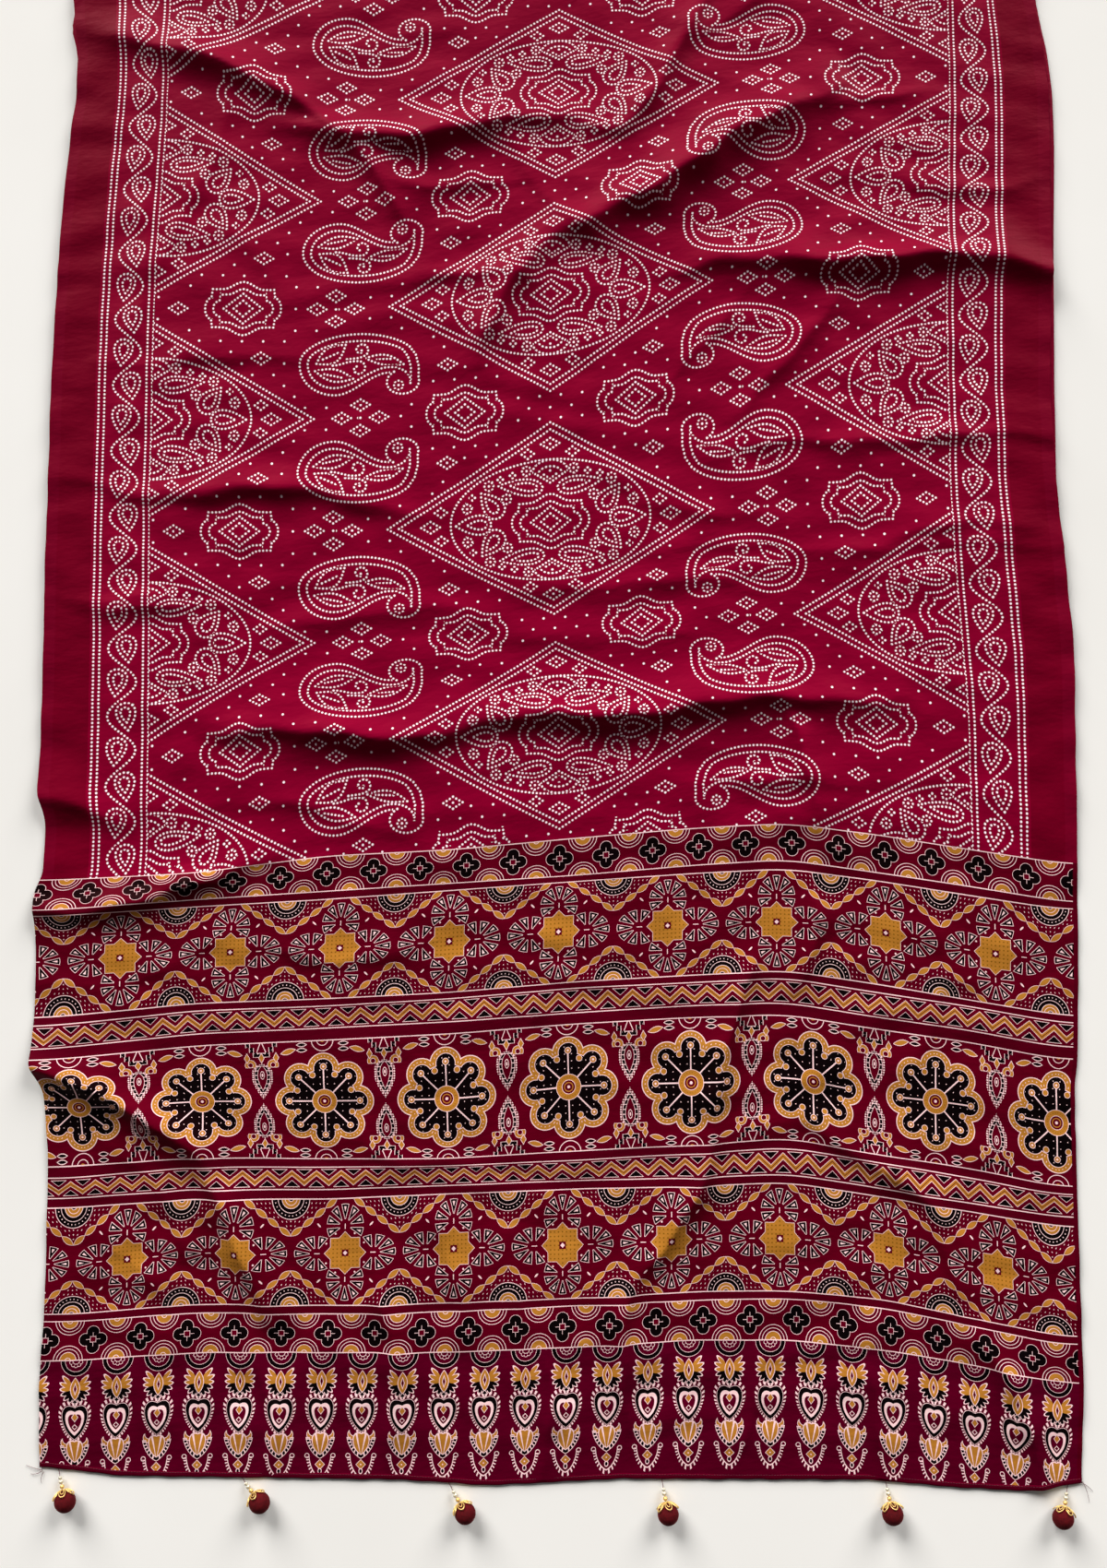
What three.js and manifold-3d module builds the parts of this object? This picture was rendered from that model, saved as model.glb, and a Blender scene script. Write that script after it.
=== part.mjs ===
// A printed crepe saree laid flat on a floor: the body and the pallu of one long cloth,
// the rest of its length folded away underneath, a turned hem and six hem tassels.
// Millimetres. +Z is up, +X runs across the width, +Y from the hem towards the fold.
import * as THREE from 'three';
import { mergeVertices } from 'three/addons/utils/BufferGeometryUtils.js';
import Module from 'manifold-3d';

// Driving dimensions of the cloth
const CLOTH = 1.2; // wall of the stretch that shows
const GAP = 0.3; // clearance between neighbouring pieces
const FOLD_END = 906; // where the top stretch turns under, at the far end
const HALF_WIDTH = 570; // nominal half width of the cloth as it lies
const HEM_WIDTH = 6; // the turned hem
const HEM_HEIGHT = 2.2;

// Folded layers under the body
const LAYER_PITCH = 1.1; // height that each hidden layer adds
const LAYER_WALL = 1.15; // so that neighbouring layers just merge
const LAYER_ROUND = 0.5; // rounding of a layer's edges
const LAYER_LIP = 0.2; // half of the flat left at a layer's very edge
const LAYER_STATION = 5; // least distance between a layer's end and the next row of the edge table
const RAMP_START = 26; // the cloth above starts down this far past a layer's end
const RAMP_LENGTH = 30;
const CLEAR_START = -170; // the clearance over the layers fades out between these two places
const CLEAR_END = -200;
const TURN_DEPTH = 5.2; // how far the turned-down end reaches in front of the layers

// Mesh resolution
const COLUMNS = 40;
const BODY_ROWS = 36;
const PALLU_ROWS = 24;
const PATH_STEPS = 14; // steps along a fold when distances to it are taken
const FOLD_FADE = 0.3; // share of a fold's length over which it rises at each end
const FLAT_BELOW = 0.5; // a fold lower than this lies flat

// Long edges at each place along the length: the top stretch, and the widest layer under it
const EDGES = [
  { y: 906, left: -562, right: 554, underLeft: -559, underRight: 560 },
  { y: 810, left: -563, right: 551, underLeft: -560, underRight: 557 },
  { y: 772, left: -559, right: 558, underLeft: -566, underRight: 563 },
  { y: 746, left: -556, right: 562, underLeft: -558, underRight: 568 },
  { y: 694, left: -556, right: 567, underLeft: -553, underRight: 573 },
  { y: 638, left: -562, right: 567, underLeft: -559, underRight: 573 },
  { y: 545, left: -569, right: 565, underLeft: -566, underRight: 571 },
  { y: 449, left: -573, right: 563, underLeft: -570, underRight: 569 },
  { y: 345, left: -576, right: 559, underLeft: -573, underRight: 565 },
  { y: 243, left: -576, right: 562, underLeft: -573, underRight: 565 },
  { y: 138, left: -577, right: 571, underLeft: -574, underRight: 568 },
  { y: 41, left: -576, right: 578, underLeft: -573, underRight: 575 },
  { y: -118, left: -577, right: 576, underLeft: -574, underRight: 573 },
  { y: -148, left: -569, right: 576, underLeft: -566, underRight: 573 },
  { y: -209, left: -570, right: 575, underLeft: -567, underRight: 572 },
  { y: -229, left: -579, right: 575, underLeft: -576, underRight: 572 },
  { y: -322, left: -575, right: 573, underLeft: -572, underRight: 570 },
  { y: -419, left: -577, right: 569, underLeft: -574, underRight: 566 },
  { y: -444, left: -564, right: 565, underLeft: -561, underRight: 562 },
  { y: -510, left: -556, right: 565, underLeft: -553, underRight: 562 },
  { y: -671, left: -555, right: 565, underLeft: -552, underRight: 562 },
  { y: -758, left: -559, right: 566, underLeft: -556, underRight: 563 },
  { y: -852, left: -556, right: 561, underLeft: -553, underRight: 558 },
];

// Where the body print ends and the pallu begins
const PALLU_LINE = [
  { x: -578, y: -217 },
  { x: -415, y: -201 },
  { x: -210, y: -185 },
  { x: -5, y: -173 },
  { x: 262, y: -153 },
  { x: 354, y: -165 },
  { x: 507, y: -186 },
  { x: 579, y: -197 },
];

// Outer edge of the hem
const HEM_LINE = [
  { x: -560, y: -845 },
  { x: -481, y: -854 },
  { x: -317, y: -856 },
  { x: -173, y: -858 },
  { x: -78, y: -864 },
  { x: 62, y: -857 },
  { x: 338, y: -858 },
  { x: 431, y: -866 },
  { x: 512, y: -870 },
  { x: 565, y: -861 },
];

// Far ends of the hidden layers, lowest layer first, at the left and the right edge,
// and how far each layer's long edges lie inside the widest one
const LAYERS = [
  { endLeft: -112, endRight: -158, inset: 2.0 },
  { endLeft: -100, endRight: -122, inset: 0.0 },
  { endLeft: 4, endRight: -6, inset: 2.6 },
  { endLeft: 150, endRight: 164, inset: 1.2 },
];

// The largest folds: start, middle and end of each ridge, its height, and how wide it falls
// off to the left and to the right as seen along it from its start
const FOLDS = [
  { sx: -500, sy: 752, mx: -361, my: 706, ex: -260, ey: 650, height: 8, left: 34, right: 24 },
  { sx: -300, sy: 660, mx: -150, my: 644, ex: 20, ey: 676, height: 8, left: 34, right: 26 },
  { sx: 10, sy: 672, mx: 104, my: 680, ex: 182, ey: 850, height: 7, left: 28, right: 28 },
  { sx: -285, sy: 660, mx: -219, my: 606, ex: -165, ey: 530, height: 7, left: 28, right: 24 },
  { sx: 320, sy: 690, mx: 150, my: 604, ex: -20, ey: 500, height: 12, left: 24, right: 44 },
  { sx: 10, sy: 520, mx: -64, my: 448, ex: -86, ey: 365, height: 9, left: 26, right: 34 },
  { sx: 140, sy: 472, mx: 366, my: 492, ex: 660, ey: 470, height: 10, left: 36, right: 24 },
  { sx: 318, sy: 462, mx: 268, my: 388, ex: 205, ey: 300, height: 4, left: 26, right: 26 },
  { sx: -470, sy: 226, mx: -318, my: 222, ex: -140, ey: 195, height: 4, left: 26, right: 26 },
  { sx: -380, sy: -34, mx: -225, my: -44, ex: -90, ey: -36, height: 9, left: 36, right: 24 },
  { sx: -130, sy: -38, mx: 115, my: -23, ex: 360, ey: -2, height: 11, left: 38, right: 24 },
  { sx: -640, sy: -118, mx: -560, my: -131, ex: -470, ey: -148, height: 6, left: 26, right: 24 },
  { sx: 248, sy: -30, mx: 276, my: -90, ex: 300, ey: -160, height: 5, left: 24, right: 24 },
  { sx: -650, sy: -250, mx: -454, my: -236, ex: -310, ey: -190, height: 9, left: 24, right: 28 },
  { sx: 270, sy: -205, mx: 281, my: -270, ex: 258, ey: -340, height: 5, left: 24, right: 24 },
  { sx: -650, sy: -412, mx: -468, my: -464, ex: -385, ey: -545, height: 12, left: 30, right: 24 },
  { sx: -400, sy: -528, mx: -352, my: -602, ex: -308, ey: -700, height: 11, left: 30, right: 24 },
  { sx: -197, sy: -620, mx: -182, my: -710, ex: -180, ey: -830, height: 6, left: 24, right: 24 },
  { sx: 216, sy: -290, mx: 183, my: -424, ex: 155, ey: -530, height: 8, left: 26, right: 24 },
  { sx: 165, sy: -495, mx: 140, my: -573, ex: 80, ey: -655, height: 8, left: 26, right: 24 },
  { sx: 92, sy: -635, mx: 72, my: -700, ex: 70, ey: -800, height: 6, left: 24, right: 24 },
  { sx: 260, sy: -482, mx: 357, my: -533, ex: 445, ey: -625, height: 5, left: 24, right: 24 },
  { sx: 455, sy: -710, mx: 492, my: -787, ex: 535, ey: -910, height: 6, left: 24, right: 24 },
];

// Tassels: where each thread leaves the hem, and where its ball lies
const TASSELS = [
  { hemX: -536, ballX: -525, ballY: -877 },
  { hemX: -339, ballX: -318, ballY: -878 },
  { hemX: -117, ballX: -99, ballY: -889 },
  { hemX: 111, ballX: 117, ballY: -890 },
  { hemX: 351, ballX: 356, ballY: -890 },
  { hemX: 546, ballX: 537, ballY: -894 },
];
const BALL_RADIUS = 11.3;
const FLOOR_CLEAR = 0.05; // under each ball
const CAP_WALL = 0.9;
const CAP_REACH = 45; // degrees from the ball's top to the tips of the cap's petals
const CAP_NOTCH = 12; // how much shorter, in degrees, the cap is between its petals
const CAP_PETALS = 7;
const CAP_CLEAR = 0.6; // between the ball and the cap, so that their facets stay apart
const BEAD_RADIUS = 2.4; // round gold bead
const SEED_RADII = [2.7, 2.2]; // small beads on the thread, from the gold bead towards the hem
const THREAD_RADIUS = 0.6;
const THREAD_STANDOFF = 0.5; // from the hem's outer edge to the thread's end

const CRIMSON = { color: 0x8a0a34, roughness: 0.5, metalness: 0.0 };
const MAROON = { color: 0x6e0c30, roughness: 0.55, metalness: 0.0 };
const VELVET = { color: 0x4a050c, roughness: 0.95, metalness: 0.0 };
const GOLD = { color: 0xc9a24a, roughness: 0.3, metalness: 1.0 };
const GLASS = { color: 0xcfc8b4, roughness: 0.2, metalness: 0.0 };

const { clamp, lerp, smoothstep, degToRad } = THREE.MathUtils;

// Straight-line lookup in a table sorted by its key column, rising or falling
function lookup(table, key, column, at) {
  const rising = table[table.length - 1][key] > table[0][key];
  const past = table.findIndex((row) => (rising ? row[key] >= at : row[key] <= at));
  if (past === 0) return table[0][column];
  if (past < 0) return table[table.length - 1][column];
  const [a, b] = [table[past - 1], table[past]];
  return lerp(a[column], b[column], (at - a[key]) / (b[key] - a[key]));
}

// Height of one ridge over a point: a bell across it, fading out at both its ends
function ridgeHeight(fold, x, y) {
  const controlX = 2 * fold.mx - (fold.sx + fold.ex) / 2;
  const controlY = 2 * fold.my - (fold.sy + fold.ey) / 2;
  let nearest = { distance: Infinity, side: 1, along: 0 };
  let previous = { x: fold.sx, y: fold.sy };
  for (let step = 1; step <= PATH_STEPS; step += 1) {
    const t = step / PATH_STEPS;
    const next = {
      x: (1 - t) ** 2 * fold.sx + 2 * t * (1 - t) * controlX + t * t * fold.ex,
      y: (1 - t) ** 2 * fold.sy + 2 * t * (1 - t) * controlY + t * t * fold.ey,
    };
    const [dx, dy] = [next.x - previous.x, next.y - previous.y];
    const along = clamp(((x - previous.x) * dx + (y - previous.y) * dy) / (dx * dx + dy * dy), 0, 1);
    const [awayX, awayY] = [x - previous.x - along * dx, y - previous.y - along * dy];
    const distance = Math.hypot(awayX, awayY);
    if (distance < nearest.distance) {
      const side = Math.sign(dx * awayY - dy * awayX);
      nearest = { distance, side, along: (step - 1 + along) / PATH_STEPS };
    }
    previous = next;
  }
  const width = nearest.side > 0 ? fold.left : fold.right;
  const fade = smoothstep(nearest.along, 0, FOLD_FADE) * smoothstep(1 - nearest.along, 0, FOLD_FADE);
  return fold.height * fade * Math.exp(-((nearest.distance / width) ** 2));
}

// Height of all the folds over a point, flat where they have died away
function foldHeight(x, y) {
  const squares = FOLDS.map((fold) => ridgeHeight(fold, x, y) ** 2);
  const height = Math.sqrt(squares.reduce((sum, square) => sum + square, 0));
  return height < FLAT_BELOW ? 0 : height - FLAT_BELOW;
}

// Height of what the cloth lies on: the hidden layers, then down a ramp past each one's end
function restHeight(x, y) {
  const across = (x + HALF_WIDTH) / (2 * HALF_WIDTH);
  return LAYERS.reduce((sum, layer) => {
    const end = lerp(layer.endLeft, layer.endRight, across);
    const under = smoothstep(y, end - RAMP_START - RAMP_LENGTH, end - RAMP_START);
    return sum + under * LAYER_PITCH;
  }, GAP * smoothstep(y, CLEAR_END, CLEAR_START));
}

// A closed wall from a grid of points on its top and the same grid on its underside
function closedWall(top, under) {
  const columns = top.length;
  const rows = top[0].length;
  const last = columns - 1;
  const positions = [...top.flat(), ...under.flat()].flat();
  const at = (layer, column, row) => layer * columns * rows + column * rows + row;
  const index = [];
  const quad = (a, b, c, d) => index.push(a, c, b, a, d, c);
  for (let i = 0; i + 1 < columns; i += 1) {
    for (let j = 0; j + 1 < rows; j += 1) {
      quad(at(0, i, j), at(0, i, j + 1), at(0, i + 1, j + 1), at(0, i + 1, j));
      quad(at(1, i, j), at(1, i + 1, j), at(1, i + 1, j + 1), at(1, i, j + 1));
    }
    quad(at(0, i, 0), at(0, i + 1, 0), at(1, i + 1, 0), at(1, i, 0));
    quad(at(0, i + 1, rows - 1), at(0, i, rows - 1), at(1, i, rows - 1), at(1, i + 1, rows - 1));
  }
  for (let j = 0; j + 1 < rows; j += 1) {
    quad(at(0, 0, j + 1), at(0, 0, j), at(1, 0, j), at(1, 0, j + 1));
    quad(at(0, last, j), at(0, last, j + 1), at(1, last, j + 1), at(1, last, j));
  }
  const geometry = new THREE.BufferGeometry();
  geometry.setAttribute('position', new THREE.Float32BufferAttribute(positions, 3));
  geometry.setIndex(index);
  return geometry;
}

// Plan position of a point of the cloth: a share of the width at a place along the length
function acrossAt(share, y) {
  return lerp(lookup(EDGES, 'y', 'left', y), lookup(EDGES, 'y', 'right', y), share);
}

// A point on the cloth's top and the one below it on its underside
function clothPoints(share, y) {
  const x = acrossAt(share, y);
  const under = restHeight(x, y) + foldHeight(x, y);
  return { top: [x, y, under + CLOTH], under: [x, y, under] };
}

const shareOf = (column) => column / COLUMNS;
const nominalX = (share) => lerp(-HALF_WIDTH, HALF_WIDTH, share);

// The body: from the pallu line to the far end, where the cloth turns down round the layers
function bodyCloth() {
  const turn = [
    { back: TURN_DEPTH, top: 0, under: 'rests' },
    { back: TURN_DEPTH - GAP, top: 0, under: 0 },
    { back: 1.4, top: -0.5, under: 0 },
    { back: 0, top: -2.2, under: 1.4 },
  ];
  const top = [];
  const under = [];
  for (let column = 0; column <= COLUMNS; column += 1) {
    const share = shareOf(column);
    const start = lookup(PALLU_LINE, 'x', 'y', nominalX(share)) + GAP / 2;
    const end = FOLD_END - TURN_DEPTH;
    const points = [];
    for (let row = 0; row < BODY_ROWS; row += 1) {
      points.push(clothPoints(share, lerp(start, end, row / BODY_ROWS)));
    }
    for (const step of turn) {
      const point = clothPoints(share, FOLD_END - step.back);
      point.top[2] += step.top;
      if (step.under !== 'rests') point.under[2] = step.under;
      points.push(point);
    }
    top.push(points.map((point) => point.top));
    under.push(points.map((point) => point.under));
  }
  return closedWall(top, under);
}

// The pallu: from just past the pallu line to the hem's inner edge
function palluCloth() {
  const top = [];
  const under = [];
  for (let column = 0; column <= COLUMNS; column += 1) {
    const share = shareOf(column);
    const start = lookup(HEM_LINE, 'x', 'y', nominalX(share)) + HEM_WIDTH + GAP;
    const end = lookup(PALLU_LINE, 'x', 'y', nominalX(share)) - GAP / 2;
    const points = [];
    for (let row = 0; row <= PALLU_ROWS; row += 1) {
      points.push(clothPoints(share, lerp(start, end, row / PALLU_ROWS)));
    }
    top.push(points.map((point) => point.top));
    under.push(points.map((point) => point.under));
  }
  return closedWall(top, under);
}

// The turned hem: a low rounded strip along the cloth's end
function palluHem() {
  const section = [
    { back: 0, top: 1.4, under: 0.8 },
    { back: 0.8, top: HEM_HEIGHT, under: 0 },
    { back: HEM_WIDTH - 0.8, top: HEM_HEIGHT, under: 0 },
    { back: HEM_WIDTH, top: 1.4, under: 0.8 },
  ];
  const top = [];
  const under = [];
  for (let column = 0; column <= COLUMNS; column += 1) {
    const share = shareOf(column);
    const outer = lookup(HEM_LINE, 'x', 'y', nominalX(share));
    const lift = foldHeight(acrossAt(share, outer), outer);
    const points = section.map((step) => {
      const y = outer + step.back;
      const x = acrossAt(share, y);
      return { top: [x, y, lift + step.top], under: [x, y, lift + step.under] };
    });
    top.push(points.map((point) => point.top));
    under.push(points.map((point) => point.under));
  }
  return closedWall(top, under);
}

// One hidden layer: a flat slab with rounded edges that follows the cloth's long edges
function layerSlab(layer, level) {
  const bottom = level * LAYER_PITCH;
  const far = FOLD_END - TURN_DEPTH - 2 * GAP;
  const between = (y) => y < far - LAYER_STATION && y > layer.endLeft + LAYER_STATION;
  const stations = [far, ...EDGES.map((row) => row.y).filter(between)];
  const rim = [
    { in: 0, top: LAYER_WALL / 2 + LAYER_LIP, under: LAYER_WALL / 2 - LAYER_LIP },
    { in: LAYER_ROUND, top: LAYER_WALL, under: 0 },
  ];
  const section = (y, endwise) => {
    const left = lookup(EDGES, 'y', 'underLeft', y) + layer.inset;
    const right = lookup(EDGES, 'y', 'underRight', y) - layer.inset;
    const sides = [
      ...rim.map((step) => ({ ...step, x: left + step.in })),
      ...rim.map((step) => ({ ...step, x: right - step.in })).reverse(),
    ];
    return sides.map((side) => {
      const slant = lerp(layer.endLeft, layer.endRight, (side.x + HALF_WIDTH) / (2 * HALF_WIDTH));
      const place = endwise === null ? y : slant + endwise;
      const thin = endwise === 0 ? rim[0] : side;
      return {
        top: [side.x, place, bottom + Math.min(side.top, thin.top)],
        under: [side.x, place, bottom + Math.max(side.under, thin.under)],
      };
    });
  };
  const rows = [section(layer.endLeft, 0), section(layer.endLeft, LAYER_ROUND)];
  for (const y of stations.reverse()) rows.push(section(y, null));
  const columnsOf = (side) => rows[0].map((unused, column) => rows.map((row) => row[column][side]));
  return closedWall(columnsOf('top'), columnsOf('under'));
}

const wasm = await Module();
wasm.setup();

function toManifold(geometry) {
  const bare = new THREE.BufferGeometry();
  bare.setAttribute('position', geometry.getAttribute('position'));
  bare.setIndex(geometry.getIndex());
  const merged = mergeVertices(bare, 1e-4);
  return new wasm.Manifold(new wasm.Mesh({
    numProp: 3,
    vertProperties: new Float32Array(merged.getAttribute('position').array),
    triVerts: new Uint32Array(merged.getIndex().array),
  }));
}

function toGeometry(manifold) {
  const mesh = manifold.getMesh();
  const geometry = new THREE.BufferGeometry();
  geometry.setAttribute('position', new THREE.Float32BufferAttribute(mesh.vertProperties, 3));
  geometry.setIndex([...mesh.triVerts]);
  return geometry;
}

// The rest of the length: its layers joined into one solid, stepped at its edges
function foldedLayers() {
  const slabs = LAYERS.map((layer, level) => toManifold(layerSlab(layer, level)));
  return toGeometry(slabs.reduce((stack, slab) => stack.add(slab)));
}

// Tassel pieces stand along their own +Y, with the ball's centre at the origin
function ballGeometry() {
  return new THREE.SphereGeometry(BALL_RADIUS, 12, 8);
}

// The cap: a thin cup over the ball's top whose rim is scalloped into petals
function capGeometry() {
  const around = CAP_PETALS * 2;
  const inner = BALL_RADIUS + CAP_CLEAR;
  const outer = inner + CAP_WALL;
  const reach = (column) => degToRad(column % 2 === 0 ? CAP_REACH : CAP_REACH - CAP_NOTCH);
  const shell = (radius, column, share) => {
    const polar = reach(column) * share;
    const turn = (2 * Math.PI * column) / around;
    const out = radius * Math.sin(polar);
    return [out * Math.cos(turn), radius * Math.cos(polar), out * Math.sin(turn)];
  };
  const shares = [0.5, 1];
  const positions = [0, outer, 0, 0, inner, 0];
  for (let column = 0; column < around; column += 1) {
    for (const share of shares) {
      positions.push(...shell(outer, column, share), ...shell(inner, column, share));
    }
  }
  const at = (column, step, side) => 2 + 2 * ((column % around) * shares.length + step) + side;
  const index = [];
  for (let column = 0; column < around; column += 1) {
    const next = column + 1;
    index.push(0, at(next, 0, 0), at(column, 0, 0), 1, at(column, 0, 1), at(next, 0, 1));
    for (let step = 0; step + 1 < shares.length; step += 1) {
      index.push(at(column, step, 0), at(next, step, 0), at(next, step + 1, 0));
      index.push(at(column, step, 0), at(next, step + 1, 0), at(column, step + 1, 0));
      index.push(at(column, step, 1), at(next, step + 1, 1), at(next, step, 1));
      index.push(at(column, step, 1), at(column, step + 1, 1), at(next, step + 1, 1));
    }
    const rim = shares.length - 1;
    index.push(at(column, rim, 0), at(next, rim, 0), at(next, rim, 1));
    index.push(at(column, rim, 0), at(next, rim, 1), at(column, rim, 1));
  }
  const geometry = new THREE.BufferGeometry();
  geometry.setAttribute('position', new THREE.Float32BufferAttribute(positions, 3));
  geometry.setIndex(index);
  return geometry;
}

const capTop = BALL_RADIUS + CAP_CLEAR + CAP_WALL;
const beadCentre = capTop + GAP + BEAD_RADIUS;

function beadGeometry() {
  return new THREE.SphereGeometry(BEAD_RADIUS, 8, 5).translate(0, beadCentre, 0);
}

// The thread with its small beads, turned as one profile, from the gold bead to the hem
function stringGeometry(length) {
  const profile = [[0, 0], [THREAD_RADIUS, 0.05]];
  let along = 0.1;
  for (const radius of SEED_RADII) {
    for (const degrees of [30, 90, 150]) {
      const turn = degToRad(degrees);
      profile.push([radius * Math.sin(turn), along + radius * (1 - Math.cos(turn))]);
    }
    along += 2 * radius;
  }
  profile.push([THREAD_RADIUS, along + 0.2], [THREAD_RADIUS, length - 0.1], [0, length]);
  const points = profile.map(([radius, height]) => new THREE.Vector2(radius, height));
  return new THREE.LatheGeometry(points, 6).translate(0, beadCentre + BEAD_RADIUS + GAP, 0);
}

function meshOf(name, geometry, finish) {
  geometry.computeVertexNormals();
  const mesh = new THREE.Mesh(geometry, new THREE.MeshStandardMaterial(finish));
  mesh.name = name;
  return mesh;
}

// The hem's outer edge at a place across the cloth
function hemAt(x) {
  const left = lookup(EDGES, 'y', 'left', HEM_LINE[0].y);
  const right = lookup(EDGES, 'y', 'right', HEM_LINE[0].y);
  return lookup(HEM_LINE, 'x', 'y', nominalX((x - left) / (right - left)));
}

// One tassel, its axis running from the ball's centre back to the hem's outer edge
function tassel(row, number) {
  const hem = new THREE.Vector3(row.hemX, hemAt(row.hemX) - THREAD_STANDOFF, HEM_HEIGHT / 2);
  const ball = new THREE.Vector3(row.ballX, row.ballY, BALL_RADIUS + FLOOR_CLEAR);
  const axis = hem.clone().sub(ball);
  const length = axis.length() - beadCentre - BEAD_RADIUS - GAP;
  const group = new THREE.Group();
  group.position.copy(ball);
  group.quaternion.setFromUnitVectors(new THREE.Vector3(0, 1, 0), axis.normalize());
  group.add(
    meshOf(`tassel_${number}_ball`, ballGeometry(), VELVET),
    meshOf(`tassel_${number}_cap`, capGeometry(), GOLD),
    meshOf(`tassel_${number}_bead`, beadGeometry(), GOLD),
    meshOf(`tassel_${number}_string`, stringGeometry(length), GLASS),
  );
  return group;
}

const saree = new THREE.Group();
saree.add(
  meshOf('body_cloth', bodyCloth(), CRIMSON),
  meshOf('pallu_cloth', palluCloth(), MAROON),
  meshOf('pallu_hem', palluHem(), MAROON),
  meshOf('folded_layers', foldedLayers(), CRIMSON),
  ...TASSELS.map((row, index) => tassel(row, index + 1)),
);

// The origin is the middle of the part's footprint, on the floor
saree.updateMatrixWorld(true);
const footprint = new THREE.Box3().setFromObject(saree, true);
const middle = footprint.getCenter(new THREE.Vector3());
saree.position.set(-middle.x, -middle.y, 0);
export default saree;
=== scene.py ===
"""Ajrakh saree, laid flat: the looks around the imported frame, in metres."""

import math

import bpy
import numpy as np
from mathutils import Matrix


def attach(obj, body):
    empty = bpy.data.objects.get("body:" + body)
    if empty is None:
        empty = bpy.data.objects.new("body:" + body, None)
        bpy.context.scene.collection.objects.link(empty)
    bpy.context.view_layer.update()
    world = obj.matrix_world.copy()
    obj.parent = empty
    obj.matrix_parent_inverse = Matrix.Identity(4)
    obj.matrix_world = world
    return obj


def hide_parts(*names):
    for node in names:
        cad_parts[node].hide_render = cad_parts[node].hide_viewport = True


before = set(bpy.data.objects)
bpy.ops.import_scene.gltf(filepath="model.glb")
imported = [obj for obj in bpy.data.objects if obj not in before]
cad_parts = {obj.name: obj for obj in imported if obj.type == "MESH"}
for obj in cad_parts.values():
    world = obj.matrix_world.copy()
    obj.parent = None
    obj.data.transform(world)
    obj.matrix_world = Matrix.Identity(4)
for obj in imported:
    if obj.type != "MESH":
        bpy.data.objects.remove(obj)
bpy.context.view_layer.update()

MM = 0.001
TAU = 2 * math.pi

# Cloth, m: half its width, its walls, the far fold, the mesh grid and the floor
HALF_WIDTH = 0.570
CLOTH_WALL = 0.0012
SHELL_WALL = 0.0010
FOLD_END = 0.9008
FOLD_NOSE = 0.0051
GRID_STEP = 0.004
FLOOR_CLEARANCE = 0.0001
FLOOR_HEIGHT = -0.0003
SIDE_LINE = 0.455
STRIP_INNER, STRIP_OUTER = 0.4575, 0.5165
SELVEDGE_INNER = 0.565

# Outline of the saree as it lies, mm: y, left edge, right edge, folded lengths' left and right
EDGES = np.array([
    (906, -562, 554, -559, 560), (810, -563, 551, -560, 557),
    (772, -559, 558, -566, 563), (746, -556, 562, -558, 568),
    (694, -556, 567, -553, 573), (638, -562, 567, -559, 573),
    (545, -569, 565, -566, 571), (449, -573, 563, -570, 569),
    (345, -576, 559, -573, 565), (243, -576, 562, -573, 565),
    (138, -577, 571, -574, 568), (41, -576, 578, -573, 575),
    (-118, -577, 576, -574, 573), (-148, -569, 576, -566, 573),
    (-209, -570, 575, -567, 572), (-229, -579, 575, -576, 572),
    (-322, -575, 573, -572, 570), (-419, -577, 569, -574, 566),
    (-444, -564, 565, -561, 562), (-510, -556, 565, -553, 562),
    (-671, -555, 565, -552, 562), (-758, -559, 566, -556, 563),
    (-852, -556, 561, -553, 558),
], float)[::-1]

# The body's printed side lines, mm: y, left inner line, right inner line
SIDE_LINES = np.array([
    (906, -447, 451), (678, -448, 450), (456, -458, 441), (196, -458, 440),
    (-27, -454, 455), (-205, -453, 457), (-320, -458, 457), (-510, -443, 452),
    (-671, -442, 452), (-900, -445, 449),
], float)[::-1]

# The hem's outer edge, mm: x, y
HEM_LINE = np.array([
    (-560, -845), (-481, -854), (-317, -856), (-173, -858), (-78, -864),
    (62, -857), (338, -858), (431, -866), (512, -870), (565, -861),
], float)

# Where the body's cross lines lie, mm: cloth length from the pallu, then y at each column
BODY_COLUMNS = np.array([-570, -455, -225, 0, 225, 455, 570], float)
BODY_ROWS = np.array([
    (0, -217, -205, -186, -173, -157, -179, -197),
    (122, -86, -81, -62, -54, -34, -47, -52),
    (249.5, 48, 49, 49, 66, 82, 84, 85),
    (377, 176, 176, 176, 187, 204, 216, 217),
    (504.5, 305, 305, 306, 319, 346, 348, 349),
    (632, 435, 436, 433, 452, 471, 478, 479),
    (759.5, 567, 567, 560, 573, 586, 595, 596),
    (887, 695, 695, 680, 692, 706, 713, 714),
    (1014.5, 824, 823, 807, 810, 822, 834, 836),
    (1100, 901, 901, 901, 901, 901, 901, 901),
], float)

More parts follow.
